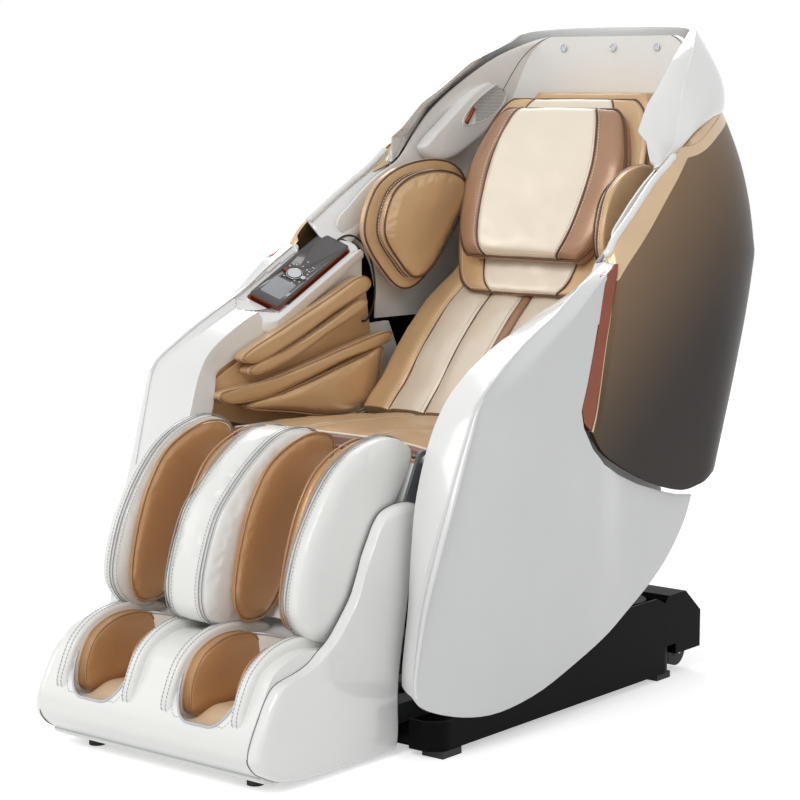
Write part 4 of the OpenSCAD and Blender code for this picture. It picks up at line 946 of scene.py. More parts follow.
def sew(name, lines, body, thread):
    """Rows of stitches along lines, each a path and whether it closes on itself."""
    sewing = bpy.context.scene.chair_sewing
    mesh = bpy.data.meshes.new(name)
    pts, edges = [], []
    for path, loop in lines:
        base = len(pts)
        pts += [tuple(float(c) * MM for c in p) for p in path]
        edges += [(base + i, base + i + 1) for i in range(len(path) - 1)]
        if loop:
            edges.append((len(pts) - 1, base))
    mesh.from_pydata(pts, edges, [])
    done = run_tree(new_object(name, mesh), stitch_tree(), {
        "Pitch": sewing.pitch, "Stitch length": sewing.pitch * sewing.share,
        "Thread radius": sewing.thread / 2, "Thread": thread})
    return put(done, body)


def dimples(name, spots, body, finish_of, radius, depth=0.8, sides=8):
    """Round marks at spots, each a point and the direction it faces, in millimetres."""
    mesh = bpy.data.meshes.new(name)
    mesh.from_pydata([tuple(float(c) * MM for c in p) for p, _ in spots], [], [])
    facing = mesh.attributes.new("facing", "FLOAT_VECTOR", "POINT")
    for k, (_, d) in enumerate(spots):
        facing.data[k].vector = unit(d)
    done = run_tree(new_object(name, mesh), hole_tree(), {
        "Radius": radius * MM, "Depth": depth * MM, "Sides": sides, "Finish": finish_of})
    return put(done, body)


def piping(name, lines, radius, finish_of, body, sides=8):
    """Sewn piping along lines, each a path and whether it closes on itself."""
    skin = Skin()
    for path, loop in lines:
        pts, faces = sweep(path, radius, sides, loop)
        skin.add_solid(pts, faces)
    return put(skin.make(name, finish_of), body)


def mirror_lines(lines):
    """The lines and the same on the other side of the chair."""
    return lines + [([(-p[0], p[1], p[2]) for p in path], loop) for path, loop in lines]


SEAT_VOXEL, BAG_VOXEL = 5.0, 4.0
PRESSURE = 4.0
FRAMES = 20


def plump(piece, cap, voxel):
    """Blows a padded piece up as cloth under air pressure, no point further than cap."""
    scene = bpy.context.scene
    name = piece.name
    work = piece.copy()
    work.data = piece.data.copy()
    scene.collection.objects.link(work)
    r = work.modifiers.new("Even mesh", "REMESH")
    r.mode = "VOXEL"
    r.voxel_size = voxel * MM
    finishes_kept = list(piece.data.materials)
    bpy.data.objects.remove(piece)
    work = plain(work)
    start = np.zeros(len(work.data.vertices) * 3)
    work.data.vertices.foreach_get("co", start)
    start = start.reshape(-1, 3)
    c = work.modifiers.new("Air", "CLOTH")
    c.settings.quality = 4
    c.settings.mass = 0.4
    c.settings.use_pressure = True
    c.settings.uniform_pressure_force = PRESSURE
    c.settings.effector_weights.gravity = 0
    c.settings.tension_stiffness = 30
    c.settings.compression_stiffness = 12
    c.settings.bending_stiffness = 1.2
    c.point_cache.frame_start, c.point_cache.frame_end = 1, FRAMES
    for k in range(1, FRAMES + 1):
        scene.frame_set(k)
    done = plain(work)
    scene.frame_set(1)
    end = np.zeros(len(done.data.vertices) * 3)
    done.data.vertices.foreach_get("co", end)
    end = end.reshape(-1, 3)
    move = end - start
    size = np.linalg.norm(move, axis=1)
    move *= np.minimum(1, cap * MM / np.maximum(size, 1e-9))[:, None]
    done.data.vertices.foreach_set("co", (start + move).ravel())
    done.name = name
    done.data.materials.clear()
    for f in finishes_kept:
        done.data.materials.append(f)
    done.data.polygons.foreach_set("use_smooth", [True] * len(done.data.polygons))
    s = done.modifiers.new("Smooth", "SUBSURF")
    s.levels = s.render_levels = 1
    return done


def cut(piece, cutter):
    """Cuts the shape of one closed piece out of another, and drops the cutter."""
    m = piece.modifiers.new("Recess", "BOOLEAN")
    m.operation = "DIFFERENCE"
    m.solver = "EXACT"
    m.object = cutter
    done = plain(piece)
    bpy.data.objects.remove(cutter)
    return done


def on_face(f, u, v, lift, toward):
    """Point of a face raised off it by lift, on the side that looks toward a direction."""
    e = 2e-3
    du = f(min(1, u + e), v) - f(max(0, u - e), v)
    dv = f(u, min(1, v + e)) - f(u, max(0, v - e))
    n = unit(np.cross(du, dv))
    if np.dot(n, toward) < 0:
        n = -n
    return f(u, v) + n * lift


def face_line(f, uv, lift, toward):
    return [on_face(f, u, v, lift, toward) for u, v in uv]


# ---------------------------------------------------------------- shells
def build_side_panels():
    f = finishes()
    skin = shell(panel_point, 0, SHELL, steps((0, .12, 8), (.12, 1, 40)), steps((0, 1, 80)))
    for side, part in (("left", skin), ("right", skin.other_side())):
        piece = soften(part.make("side_panel_" + side, f["pearl"]), 2.6)
        put(piece, "seat", [side + "_side_panel"])


DOCK_OUTLINE = [(-16, -14), (-9, -30), (4, -46), (20, -50), (58, -44), (74, -34), (83, -18),
                (84, 0), (84, 226), (80, 240), (70, 249), (52, 252), (20, 252), (4, 248),
                (-2, 240), (-4.6, 228), (-5, 180), (-10, 120)]


DOCK_HOLE = (-4.3, -6.3, 76.6, 236.6, 8, 6)
DOCK_CORNER = (-4, -4)
DOCK_POINTS = 112
DOCK_COVERED = 0.97


def build_arm_covers():
    f = finishes()
    skin = shell(arm_point, 0, SHELL, steps((0, .14, 6), (.14, .7, 26), (.7, 1, 10)),
                 steps((0, .5, 50), (.5, 1, 150)))
    skin.mirrored()
    # the cover dips under the raised surround of the remote's dock
    loop = closed(points(DOCK_OUTLINE), DOCK_POINTS)
    middle = loop.mean(0)
    inner = [tuple(middle + (q - middle) * DOCK_COVERED) for q in loop]
    zero = on_remote(0, 0, 0)
    turned = np.array([on_remote(*e) - zero for e in np.eye(3)])
    for k, point in enumerate(skin.points):
        x, y, z = turned @ (np.array(point) - zero)
        if point[0] < 0 and z > -40 and inside(inner, x, y):
            skin.points[k] = on_remote(x, y, min(z, -20 + 0.3 * z))
    arms = skin.make("arm_cover_pair", f["white"])
    put(soften(arms, 2.2, angle=28), "seat", ["arm_covers"])
    hole_line = closed_from(round_rect(*DOCK_HOLE), DOCK_POINTS)
    rings = []
    for k, z in ((1.05, -24), (1.035, -12), (1.0, -4.2), (0.992, -2.2), (0.975, -1.4)):
        rings.append([on_remote(*(middle + (q - middle) * k), z) for q in loop])
    for z in (-1.4, -20):
        rings.append([on_remote(*q, z) for q in hole_line])
    n, m = DOCK_POINTS, len(rings)
    faces = [[j * n + i, ((j + 1) % m) * n + i, ((j + 1) % m) * n + (i + 1) % n,
              j * n + (i + 1) % n] for j in range(m) for i in range(n)]
    tray = Skin().add_solid([p for r in rings for p in r], faces)
    put(soften(tray.make("dock_surround", f["white"]), 1.0, 2), "seat")


def closed_from(outline, n):
    """n points evenly spaced round a straight-sided outline, the first near the dock's corner."""
    p = np.array(outline, float)
    q = np.vstack([p, p[:1]])
    length = np.r_[0, np.cumsum(np.linalg.norm(np.diff(q, axis=0), axis=1))]
    s = np.linspace(0, length[-1], n, endpoint=False)
    out = np.column_stack([np.interp(s, length, q[:, k]) for k in (0, 1)])
    start = int(np.argmin(np.hypot(out[:, 0] - DOCK_CORNER[0], out[:, 1] - DOCK_CORNER[1])))
    return np.roll(out, -start, 0)


FRONT_ROW = 0.012
BEVEL_ROW = 0.78


def build_back_panels():
    f = finishes()
    us = steps((0, FRONT_ROW, 2), (FRONT_ROW, .66, 46), (.66, 1, 16))
    ws = steps((0, BEVEL_ROW, 40), (BEVEL_ROW, 1, 10))

    def face(depth):
        def at(u, w):
            start = band_start(u)
            bevel = (w - BEVEL_ROW) / (1 - BEVEL_ROW)
            v = w / BEVEL_ROW * start if bevel < 0 else start + bevel * (1 - start)
            return bronze_point(u, v, depth)
        return at
    pts, faces = solid_between(face(0), face(SHELL + 2), us, ws)
    nu, nv = len(us) - 1, len(ws) - 1
    tones = [int(ws[j] > BEVEL_ROW - 0.001 or us[i] < FRONT_ROW - 0.001)
             for j in range(nv) for i in range(nu)]
    tones += [0] * (nu * nv + nu + nv) + [1] * (nu + nv)
    skin = Skin().add_solid(pts, faces, tones)
    for side, part in (("left", skin), ("right", skin.other_side())):
        piece = part.make("back_panel_" + side, [f["bronze"], f["champagne"]])
        put(soften(piece, 1.6, angle=50), "backrest", [side + "_back_panel"])
    rear = shell(rear_point, 0, SHELL, steps((0, 1, 48)), steps((0, 1, 48)))
    put(soften(rear.make("back_cover", f["bronze"]), 2.0), "backrest",
        ["rear_cover"])

    # ledge between the bevel and the foot of the hood
    foot = np.array([hood_point(0.5 + 0.5 * k / 200, 0, 3) for k in range(201)])

    def ledge(u, v, drop):
        a = bronze_point(0.34 + 0.6 * u, 1, 1.5) - np.array([0, 0, 1.5])
        b = foot[np.argmin(np.linalg.norm(foot - a, axis=1))]
        return mix(a, b, v) - np.array([0, 0, drop])
    shelf = shell(ledge, 0, 2.5, steps((0, 1, 50)), steps((0, 1, 3))).mirrored()
    put(shelf.make("hood_ledge", f["champagne"]), "backrest")

    # white edge of the inner wall, inside the bevel of each bronze panel, and its lining
    def edge(start):
        line = [bronze_point(mix(start, 0.56, k / 60), 1, 0) + np.array([-9.5, 1, 1.5])
                for k in range(61)]

        def lining(u, v, depth):
            a = along(points(line), u)
            return mix(a, a * np.array([0, 1, 1]) + np.array([302, 22, -70]), v) + depth
        strip = Skin().add_solid(*sweep(line, 7.2, 12))
        strip.add_solid(*solid_between(
            lambda u, v: lining(u, v, 0), lambda u, v: lining(u, v, np.array([3, 0, -3])),
            steps((0, 1, 30)), steps((0, 1, 4))))
        return strip
    for side, part in (("left", edge(0.02)), ("right", edge(0.15).other_side())):
        put(part.make("inner_wall_edge_" + side, f["white"]), "backrest")


def build_hood():
    f = finishes()
    skin = shell(hood_point, 0, HOOD_SHELL, steps((0, 1, 120)), steps((0, 1, 22)))
    put(soften(skin.make("hood_shell", f["white"]), 4.2, 4), "backrest",
        ["hood"])
    # front faces of the wings, from the rim forward to the inner lip
    rings = []
    for z in np.r_[np.linspace(946, 1150, 52), np.linspace(1153, 1196, 12)]:
        rim, lip = (np.array([np.interp(z, t[:, 2], t[:, k]) for k in (0, 1)])
                    for t in (WING_RIM, WING_LIP))
        thin = 1 - smooth((z - 1130) / 66) * 0.55
        back = rim + np.array([-15, 12]) * thin
        side = unit([(lip - rim)[1], -(lip - rim)[0]])
        side = side if side[1] < 0 else -side
        low = 4 * (1 - smooth((z - 946) / 12))
        row = [rim + (1.5, 5), rim, mix(rim, lip, .3) + side * 3, mix(rim, lip, .7) + side * 3,
               lip, lip + (unit(back - lip) * 4 - side * 1.5), mix(lip, back, .5) - side * 1, back]
        middle = mix(rim, back, .5)
        rings.append([np.array([*(q + (middle - q) * low * .12), z]) for q in row])
    wings = Skin().add_solid(*stack(rings))
    wings.mirrored()
    put(soften(wings.make("hood_wings", f["white"]), 3.5, 3, 30), "backrest")
    # edge on which the hood stands, inside the bronze panels
    skirt = Skin().add_solid(*solid_between(
        lambda u, v: hood_point(u, 0, 1.5) + np.array([0, 0, -20 * v]),
        lambda u, v: hood_point(u, 0, 7) + np.array([0, 0, -20 * v]),
        steps((0, 1, 90)), steps((0, 1, 2))))
    put(skirt.make("hood_skirt", f["champagne"]), "backrest")
    liner = shell(liner_point, 0, 5, steps((0, 1, 80)), steps((0, 1, 60)))
    put(soften(liner.make("hood_inner_wall", f["liner"]), 1.5), "backrest",
        ["hood_liner"])
    # joints between the wall's panels
    seams = []
    for u in (0.2, 0.8):
        seams.append((face_line(lambda a, b: liner_point(a, b, 0),
                                [(u, 0.42 + 0.57 * k / 40) for k in range(41)], -0.2,
                                np.array([0, -1, 0.1])), False))
    piping("inner_wall_joints", seams, 1.0, f["hole"], "backrest", sides=6)
    # bezels round the lamps
    rings = []
    for lamp_x, y in ((-110, 614.0), (0, 626.4), (110, 614.0)):
        rings.append(([(x, y, z) for x, z in circle(lamp_x, 1168, 6.4, 32)], True))
    piping("lamp_bezels", rings, 1.1, f["bright"], "backrest")


def pod_place(x, y, z):
    """Place of a point of the left speaker pod, moved in as the wall closes in."""
    return np.array([x - WALL_LEAN * (y - POD_Y), y, z])


def build_speaker_pods():
    f = finishes()
    loop = closed(POD_OUTLINE, 120)
    middle = np.array([500, 1040])
    rings = []
    for depth, k in ((0, 1), (10, 1), (16, .985), (20, .95), (22, .9), (22.4, .8)):
        rings.append([pod_place(284 - depth, *(middle + (q - middle) * k)) for q in loop])
    body = Skin().add_solid(*stack(rings))
    boss = closed(points([[300, 790], [380, 806], [386, 866], [310, 862]]), 40)
    body.add_solid(*stack([[lean((x, y, z)) for y, z in boss] for x in (285.3, 321)]))
    body.mirrored()
    put(soften(body.make("speaker_pod_pair", f["white"]), 1.0, 2), "backrest",
        ["speaker_pods"])
    # recessed plate, its frame, the copper bar and the perforations
    edge = closed(GRILLE_OUTLINE, 96)
    g_mid = edge.mean(0)
    plate = Skin().add_solid(*stack([[pod_place(262.2 - h, *(g_mid + (q - g_mid) * k))
                                      for q in edge]
                                     for h, k in ((0, 1.0), (1.2, 1.0), (1.6, .97), (.9, .94))]))
    plate.mirrored()
    put(plate.make("speaker_plates", f["liner"]), "backrest")
    spots = []
    poly = [tuple(g_mid + (q - g_mid) * 0.9) for q in edge]
    for i in range(60):
        for j in range(40):
            y = 455 + i * 3.2 + (j % 2) * 1.6
            z = 1004 + j * 2.8
            if inside(poly, y, z) and not (y < 497 and z < 1050):
                p = pod_place(262.2 - 1.55, y, z)
                spots.append((p, (-1, -WALL_LEAN, 0)))
                spots.append((p * np.array([-1, 1, 1]), (1, -WALL_LEAN, 0)))
    dimples("speaker_perforations", spots, "backrest", f["hole"], 0.85, 0.5, 6)
    bar = Skin()
    line = [pod_place(259.6, y, z) for y, z in ((470, 1019), (478, 1030), (486, 1041),
                                                (492, 1048))]
    bar.add_solid(*sweep(line, 4.2, 10))
    bar.mirrored()
    put(bar.make("speaker_bars", f["copper"]), "backrest")


def inside(poly, x, y):
    """Whether a point lies inside an outline."""
    hit = False
    for (x0, y0), (x1, y1) in zip(poly, poly[1:] + poly[:1]):
        if (y0 > y) != (y1 > y) and x < (x1 - x0) * (y - y0) / (y1 - y0) + x0:
            hit = not hit
    return hit


# ---------------------------------------------------------------- upholstery
SEAT_W = 472
SEAT_FRONT = -232
SEAT_DEEP = 352
BAND_Y = SEAT_FRONT + 4


def build_seat_cushion():
    f = finishes()

    def top(u, v):
        x, y = SEAT_W * (u - 0.5), SEAT_FRONT + SEAT_DEEP * v
        side, front = abs(2 * u - 1) ** 4, (1 - v) ** 6
        dip = 5 * math.exp(-((abs(x) - 80) / 9) ** 2)
        return np.array([x, y, 508 - 16 * side - 9 * front - 22 * v - dip])

    def under(u, v):
        return np.array([SEAT_W * (u - 0.5), SEAT_FRONT + SEAT_DEEP * v, 412.3])
    skin = Skin().add_solid(*solid_between(top, under, steps((0, 1, 76)), steps((0, 1, 56))))
    skin.tones = [int(np.mean([skin.points[i] for i in face], axis=0)[1] < BAND_Y)
                  for face in skin.faces]
    piece = soften(skin.make("seat_pad", [f["tan"], f["mauve"]]), 13, 4, 50)
    piece = rumple(plain(piece), 3.2, 62, 3.0)
    put(piece, "seat", ["seat_cushion"])
    face = Skin().add_solid(*box_skin((-232, -239, 428), (232, -232.3, 474)))
    put(soften(face.make("seat_fascia", f["tan"]), 2.5), "seat")
    front = [(x, -235.5 - 1.5 * math.cos(x / 150), 477 + 2 * math.sin(x / 60))
             for x in np.linspace(-231, 231, 60)]
    piping("seat_front_piping", [(front, False)], 2.4, f["dark_piping"], "seat")
    edge = [(x, -226 - 1.0 * math.cos(x / 150), 499 - 14 * abs(x / 236) ** 4)
            for x in np.linspace(-229, 229, 60)]
    piping("seat_edge_piping", [(edge, False)], 2.2, f["thread"], "seat")
    upper = [(x, y - 1.5, z + 3.4) for x, y, z in front]
    sew("seat_front_stitches", [(upper, False)], "seat", f["thread"])
    seams = []
    for x in (-80, 80):
        for shift in (-7, 7):
            u = (x + shift) / SEAT_W + .5
            seams.append((face_line(top, [(u, .06 + .9 * k / 50) for k in range(51)], 0.6,
                                    np.array([0, 0, 1])), False))
    sew("seat_top_stitches", seams, "seat", f["thread"])


BLOWN = ("hip_pads", "shoulder_top_pads", "calf_side_bags")


def both_pads(name, parts, finish_of, body, nodes, amount, size, shape=None):
    """A pad on each side of the chair for each outline, as one piece, blown up if it is airy."""
    skin = Skin()
    for outline, x0, x1, bulge, crown in parts:
        pts, faces = pad(outline, x0, x1, bulge, crown)
        if shape:
            pts = [shape(p) for p in pts]
        skin.add_solid(pts, faces)
    skin.mirrored()
    piece = rumple(skin.make(name, finish_of), amount, size)
    if name in BLOWN:
        piece = plump(piece, 2.6, BAG_VOXEL)
    return put(piece, body, nodes)


# name, outline, inner and outer x, bulge, node, fill and size of the waves
ARM_PADS = (("arm_flap_upper", FLAP_UPPER, 258, 281.7, 7, "arm_airbags", 0.6, 40),
            ("arm_flap_lower", FLAP_LOWER, 256, 283.7, 5, "arm_airbags", 0.6, 40),
            ("hip_pads", HIP_OUTLINE, 259, 281.7, 7, "arm_channel_pads", 0.7, 60),
            ("hip_wedges", HIP_WEDGE, 257, 283.7, 5, "arm_channel_pads", 0.6, 40))


def build_arm_pads():
    f = finishes()
    lines, seams = [], []
    for name, outline, x0, x1, bulge, part, fill, size in ARM_PADS:
        both_pads(name, [(outline, x0, x1, bulge, 1.5)], f["tan"], "seat", [part],
                  0.8, size)
        lines.append((outline_loop(outline, x0, 160, 0.8), True))
        seams.append((outline_loop(outline, x0 + 5, 160, 1.9), True))
    walls = Skin()
    for x0, x1, outline in (
            (289, 297.4, [[-250, 500], [-240, 556], [-170, 585], [-60, 628], [60, 668],
                          [150, 690], [212, 700], [236, 560], [214, 470], [-100, 470]]),
            (297.6, 304, [[-250, 500], [-235, 560], [-170, 610], [-60, 650], [110, 712],
                          [210, 718], [236, 560], [214, 470], [-100, 470]])):
        walls.add_solid(*stack([[np.array([x, y, z]) for y, z in closed_from(outline, 90)]
                                for x in (x0, x1)]))
    walls.mirrored()
    put(soften(walls.make("arm_wall_pads", f["tan"]), 1.6), "seat",
        ["arm_channel_pads"])
    rear = Skin().add_solid(*stack([[np.array([x, y, z]) for y, z in closed_from(
        [[176, 470], [200, 632], [300, 634], [336, 560], [330, 470]], 60)] for x in (304.6, 308)]))
    rear.mirrored()
    put(soften(rear.make("arm_rear_walls", f["liner"]), 1.0, 2), "seat")
    piping("arm_pad_piping", mirror_lines(lines), 1.9, f["tan_piping"], "seat",
           sides=7)
    sew("arm_pad_stitches", mirror_lines(seams), "seat", f["thread"])


BACK_ROWS = 90


def build_back_cushion():
    f = finishes()
    us = steps((0, 0.035, 3), (0.035, 0.134, 8), (0.134, 0.309, 14), (0.309, 0.479, 14),
               (0.479, 0.521, 6), (0.521, 0.691, 14), (0.691, 0.866, 14), (0.866, 0.965, 8),
               (0.965, 1, 3))

    def face(u, v):
        return back_point(u, v, 0)

    def panel(i):
        """Finish of a row of faces: 0 at the sides, 1 on the channels, 2 in the middle."""
        x = abs(BACK_PAD_W * ((us[i] + us[i + 1]) / 2 - 0.5))
        return 2 if x < 10 else 1 if x < 172 else 0
    skin = shell(back_point, 0, 42, us, steps((0, 1, BACK_ROWS)))
    nu = len(us) - 1
    for k in range(nu * BACK_ROWS):
        skin.tones[k] = panel(k % nu)
    piece = skin.make("back_pad", [f["tan"], f["cream"], f["brown"]])
    rumple(piece, 2.2, 70, 5.0)
    put(soften(piece, 9, 3, 60), "backrest", ["back_cushion"])
    toward = np.array([0, -1, 0.6])
    cords, seams = [], []
    for x in (-172, -90, -10, 10, 90, 172):
        u = x / BACK_PAD_W + 0.5
        cords.append((face_line(face, [(u, k / 80) for k in range(81)], 1.0, toward), False))
        for shift in (-7, 7):
            w = (x + shift) / BACK_PAD_W + 0.5
            if abs(x + shift) > 10:
                seams.append((face_line(face, [(w, k / 80) for k in range(81)], 0.4, toward),
                              False))
    piping("back_piping", cords, 2.0, f["dark_piping"], "backrest")
    sew("back_stitches", seams, "backrest", f["thread"])


def hanging_pad(name, curve, half, t, split, bands, node_name, amount):
    """Long pad on the back: a centre panel between two side panels, piped round its edge."""
    f = finishes()
    a = (1 - split) / 2
    us = steps((0, a, 12), (a, 1 - a, 40), (1 - a, 1, 12))
    vs = steps((0, 1, 56))

    def face(u, v):
        p = hanging(curve, half, t, u, v, False)
        groove = 2.0 * (math.exp(-((u - a) / 0.012) ** 2) + math.exp(-((u - 1 + a) / 0.012) ** 2))
        return p + np.array([0, 0.9, -0.4]) * groove
    skin = Skin().add_solid(*solid_between(
        face, lambda u, v: hanging(curve, half, t, u, v, True), us, vs))
    nu = len(us) - 1
    for k in range(len(skin.faces)):
        middle = abs(2 * (us[k % nu] + us[k % nu + 1]) / 2 - 1) < split
        skin.tones[k] = 0 if middle and k < nu * (len(vs) - 1) else 1
    piece = skin.make(name, [f[bands[0]], f[bands[1]]])
    rumple(piece, amount, 60, 11.0)
    put(soften(piece, min(5, t / 4), 3, 50), "backrest", [node_name])
    return face, a


def build_head_cushions():
    f = finishes()
    toward = np.array([0, -1, 0.3])
    face, a = hanging_pad("head_flap_pad", FLAP_FACE, FLAP_HALF, 17, 0.62, ("cream", "tan"),
                          "head_flap", 1.6)
    cords, seams = [], []
    for u in (a, 1 - a):
        cords.append((face_line(face, [(u, k / 60) for k in range(61)], 0.9, toward), False))
        seams.append((face_line(face, [(u + (0.016 if u < .5 else -0.016), k / 60)
                                       for k in range(61)], 0.5, toward), False))

    def rim(g, lift):
        n = 40
        uv = ([(k / n, 0.0) for k in range(n)] + [(1.0, k / n) for k in range(n)]
              + [(1 - k / n, 1.0) for k in range(n)] + [(0.0, 1 - k / n) for k in range(n)])
        return [g(u, v) + np.array([(2 * u - 1) * lift, -lift * 0.6, (2 * v - 1) * lift])
                for u, v in uv]
    cords.append((rim(face, 1.0), True))
    piping("head_flap_piping", cords, 1.9, f["dark_piping"], "backrest")
    inset = [(0.03, k / 60) for k in range(2, 59)]
    seams.append((face_line(face, inset, 0.5, toward), False))
    seams.append((face_line(face, [(1 - u, v) for u, v in inset], 0.5, toward), False))
    seams.append((face_line(face, [(k / 60, 0.025) for k in range(2, 59)], 0.5, toward), False))
    sew("head_flap_stitches", seams, "backrest", f["thread"])

    face, a = hanging_pad("head_pillow_pad", PILLOW_FACE, PILLOW_HALF, 39, 0.67,
                          ("cream", "brown"), "head_pillow", 1.4)
    cords, seams = [], []
    for u in (a, 1 - a):
        cords.append((face_line(face, [(u, k / 60) for k in range(61)], 0.9, toward), False))
        for d in (0.018, -0.02):
            w = u + (d if u < .5 else -d)
            seams.append((face_line(face, [(w, k / 60) for k in range(61)], 0.5, toward), False))
    cords.append((rim(face, 1.4), True))
    piping("head_pillow_piping", cords, 2.2, f["dark_piping"], "backrest")
    seams.append((face_line(face, [(a + (1 - 2 * a) * k / 60, 0.03) for k in range(61)], 0.5,
                            toward), False))
    sew("head_pillow_stitches", seams, "backrest", f["thread"])

    def top(u, v):
        c = 2 * u - 1
        crown = (math.sqrt(max(0, 1 - abs(c) ** 4)) * math.sqrt(max(0, 1 - abs(2 * v - 1) ** 4)))
        return np.array([mix(168, 128, v) * c, 536 - 10 * crown + 16 * v, 1016 + 64 * v])
    skin = Skin().add_solid(*solid_between(
        top, lambda u, v: np.array([mix(168, 128, v) * (2 * u - 1),
                                    641 - 4 * v - mix(29, 22, v) * abs(2 * u - 1), 1016 + 64 * v]),
        steps((0, 1, 40)), steps((0, 1, 16))))
    piece = soften(skin.make("top_pad", f["tan"]), 9, 4, 50)
    put(rumple(plain(piece), 1.4, 40, 2.0), "backrest", ["top_cushion"])
    line = [(130 * (2 * u - 1), 552, 1077) for u in np.linspace(0.03, 0.97, 40)]
    sew("top_pad_stitches", [([(x, y - 1.0, z + 2.4) for x, y, z in line], False)], "backrest",
        f["thread"])


def build_shoulder_pads():
    f = finishes()
    both_pads("shoulder_base_pads", [(SHOULDER_BASE, 268, 282, 3, 1.5)], f["tan"], "backrest",
              ["shoulder_pads"], 1.0, 60, lean)
    both_pads("shoulder_top_pads", [(SHOULDER_TOP, 246, 264.5, 9, 2.0)], f["tan"], "backrest",
              ["shoulder_pads"], 1.2, 70, lean)
    cords, seams = [], []
    for outline, x, d in ((SHOULDER_BASE, 268, 4), (SHOULDER_TOP, 246, 5),
                          (SHOULDER_TOP, 264.5, -4)):
        cords.append((lean(outline_loop(outline, x, 200, 1.0)), True))
        seams.append((lean(outline_loop(outline, x + d, 200, 2.4)), True))
    piping("shoulder_piping", mirror_lines(cords), 1.9, f["dark_piping"], "backrest")
    sew("shoulder_stitches", mirror_lines(seams), "backrest", f["thread"])


def build_calf_pads():
    f = finishes()
    skin = Skin()
    skin.add_solid(*pad(CALF_SIDE, 189, 221, 5, 3.5, 110, 12, 12))
    skin.mirrored()
    skin.add_solid(*pad(CALF_MIDDLE, -46, 46, 7, 5, 110, 12, 20))
    piece = skin.make("calf_cushions", f["white_leather"])
    piece = plump(rumple(piece, 1.2, 80), 3.0, SEAT_VOXEL)
    put(piece, "legrest", ["calf_pads"])
    both_pads("calf_side_bags", [(CALF_BAG, 58.3, 69, 5, 1.5), (CALF_BAG, 168, 178.7, 5, 1.5)],
              f["deep_tan"], "legrest", ["calf_airbags"], 1.0, 70)
    bags = [(outline_loop(CALF_BAG, x, 200, 1.2), True) for x in (69, 168)]
    piping("calf_bag_piping", mirror_lines(bags), 2.0, f["tan_piping"], "legrest")
    grey = [(outline_loop(CALF_SIDE, x, 220, 3.0), True) for x in (192, 199)]
    grey += [(outline_loop(CALF_MIDDLE, x, 220, 4.6), True) for x in (34, 41)]
    seams = [(outline_loop(CALF_SIDE, 205, 220, 3.7), True),
             (outline_loop(CALF_SIDE, 186.5, 220, 0.6, 0.99), True),
             (outline_loop(CALF_MIDDLE, 27, 220, 5.2), True)]
    piping("calf_piping", mirror_lines(grey), 1.0, f["grey_piping"], "legrest")
    sew("calf_stitches", mirror_lines(seams), "legrest", f["grey_thread"])


# ---------------------------------------------------------------- foot unit
def foot_height(y):
    """Height of the foot unit's upper skin at a depth y."""
    top = FOOT_TOP[3:14]
    return float(np.interp(y, top[:, 0], top[:, 1]))


def floor_height(y):
    """Height of the foot wells' floor at a depth y."""
    return float(np.interp(y, WELL_FLOOR[:, 0], WELL_FLOOR[:, 1]))


WELL_TOP = 262


def build_foot_unit():
    f = finishes()
    profile = closed(FOOT_TOP, 150)
    rings = [[np.array([x, y, z]) for y, z in profile] for x in np.linspace(-COVER_X, COVER_X, 49)]
    body = Skin().add_solid(*stack(rings)).make("foot_body", f["white_leather"])
    lips, inner = [], []
    for x in (-WELL_X, WELL_X):
        plan = [(x + px, py) for px, py in
                closed_from(round_rect(-68, -692, 136, 204, 46, 10), 120)]
        rings = [[np.array([px, py, mix(floor_height(py), WELL_TOP, k)]) for px, py in plan]
                 for k in (0, .25, .5, .75, 1)]
        cutter = Skin().add_solid(*stack(rings)).make("well", f["white_leather"])
        body = cut(body, cutter)
        lips.append(([(px, py, foot_height(py) + 1.6) for px, py in plan], True))
        wide = [(x + px, py) for px, py in
                closed_from(round_rect(-82, -697, 164, 220, 56, 10), 140)]
        inner.append(([(px, py, foot_height(py) + 0.8) for px, py in wide if py > -690], False))
    for p in body.data.polygons:
        p.use_smooth = True
    body.data.set_sharp_from_angle(angle=math.radians(50))
    put(soften(body, 5, 4, 50), "foot_unit", ["foot_shell"])
    piping("foot_well_lips", lips, 2.3, f["silver"], "foot_unit")
    sew("foot_top_stitches", inner, "foot_unit", f["grey_thread"])
    loop = closed(COVER_OUTLINE, 200)
    middle = np.array([-490, 190])
    rings = []
    for a in np.linspace(0, math.pi / 2, 12):
        k = 1 - 0.075 * (1 - math.cos(a)) ** 1.3
        rings.append([np.array([COVER_X + 20 * math.sin(a), *(middle + (q - middle) * k)])
                      for q in loop])
    for k in (.8, .6, .4, .2, .05):
        rings.append([np.array([COVER_X + 20, *(middle + (q - middle) * k)]) for q in loop])
    covers = Skin().add_solid(*stack(rings))
    covers.mirrored()
    put(covers.make("foot_cover_pair", f["white"]), "foot_unit",
        ["foot_side_covers"])
    dark = [(outline_loop(COVER_OUTLINE, COVER_X - 0.4, 220, -0.4), True)]
    piping("foot_cover_gaps", mirror_lines(dark), 1.3, f["hole"], "foot_unit")
    line = [(x, -667, 29.5) for x in np.linspace(-233, 233, 40)]
    piping("foot_lower_trim", [(line, False)], 2.6, f["trim"], "foot_unit")


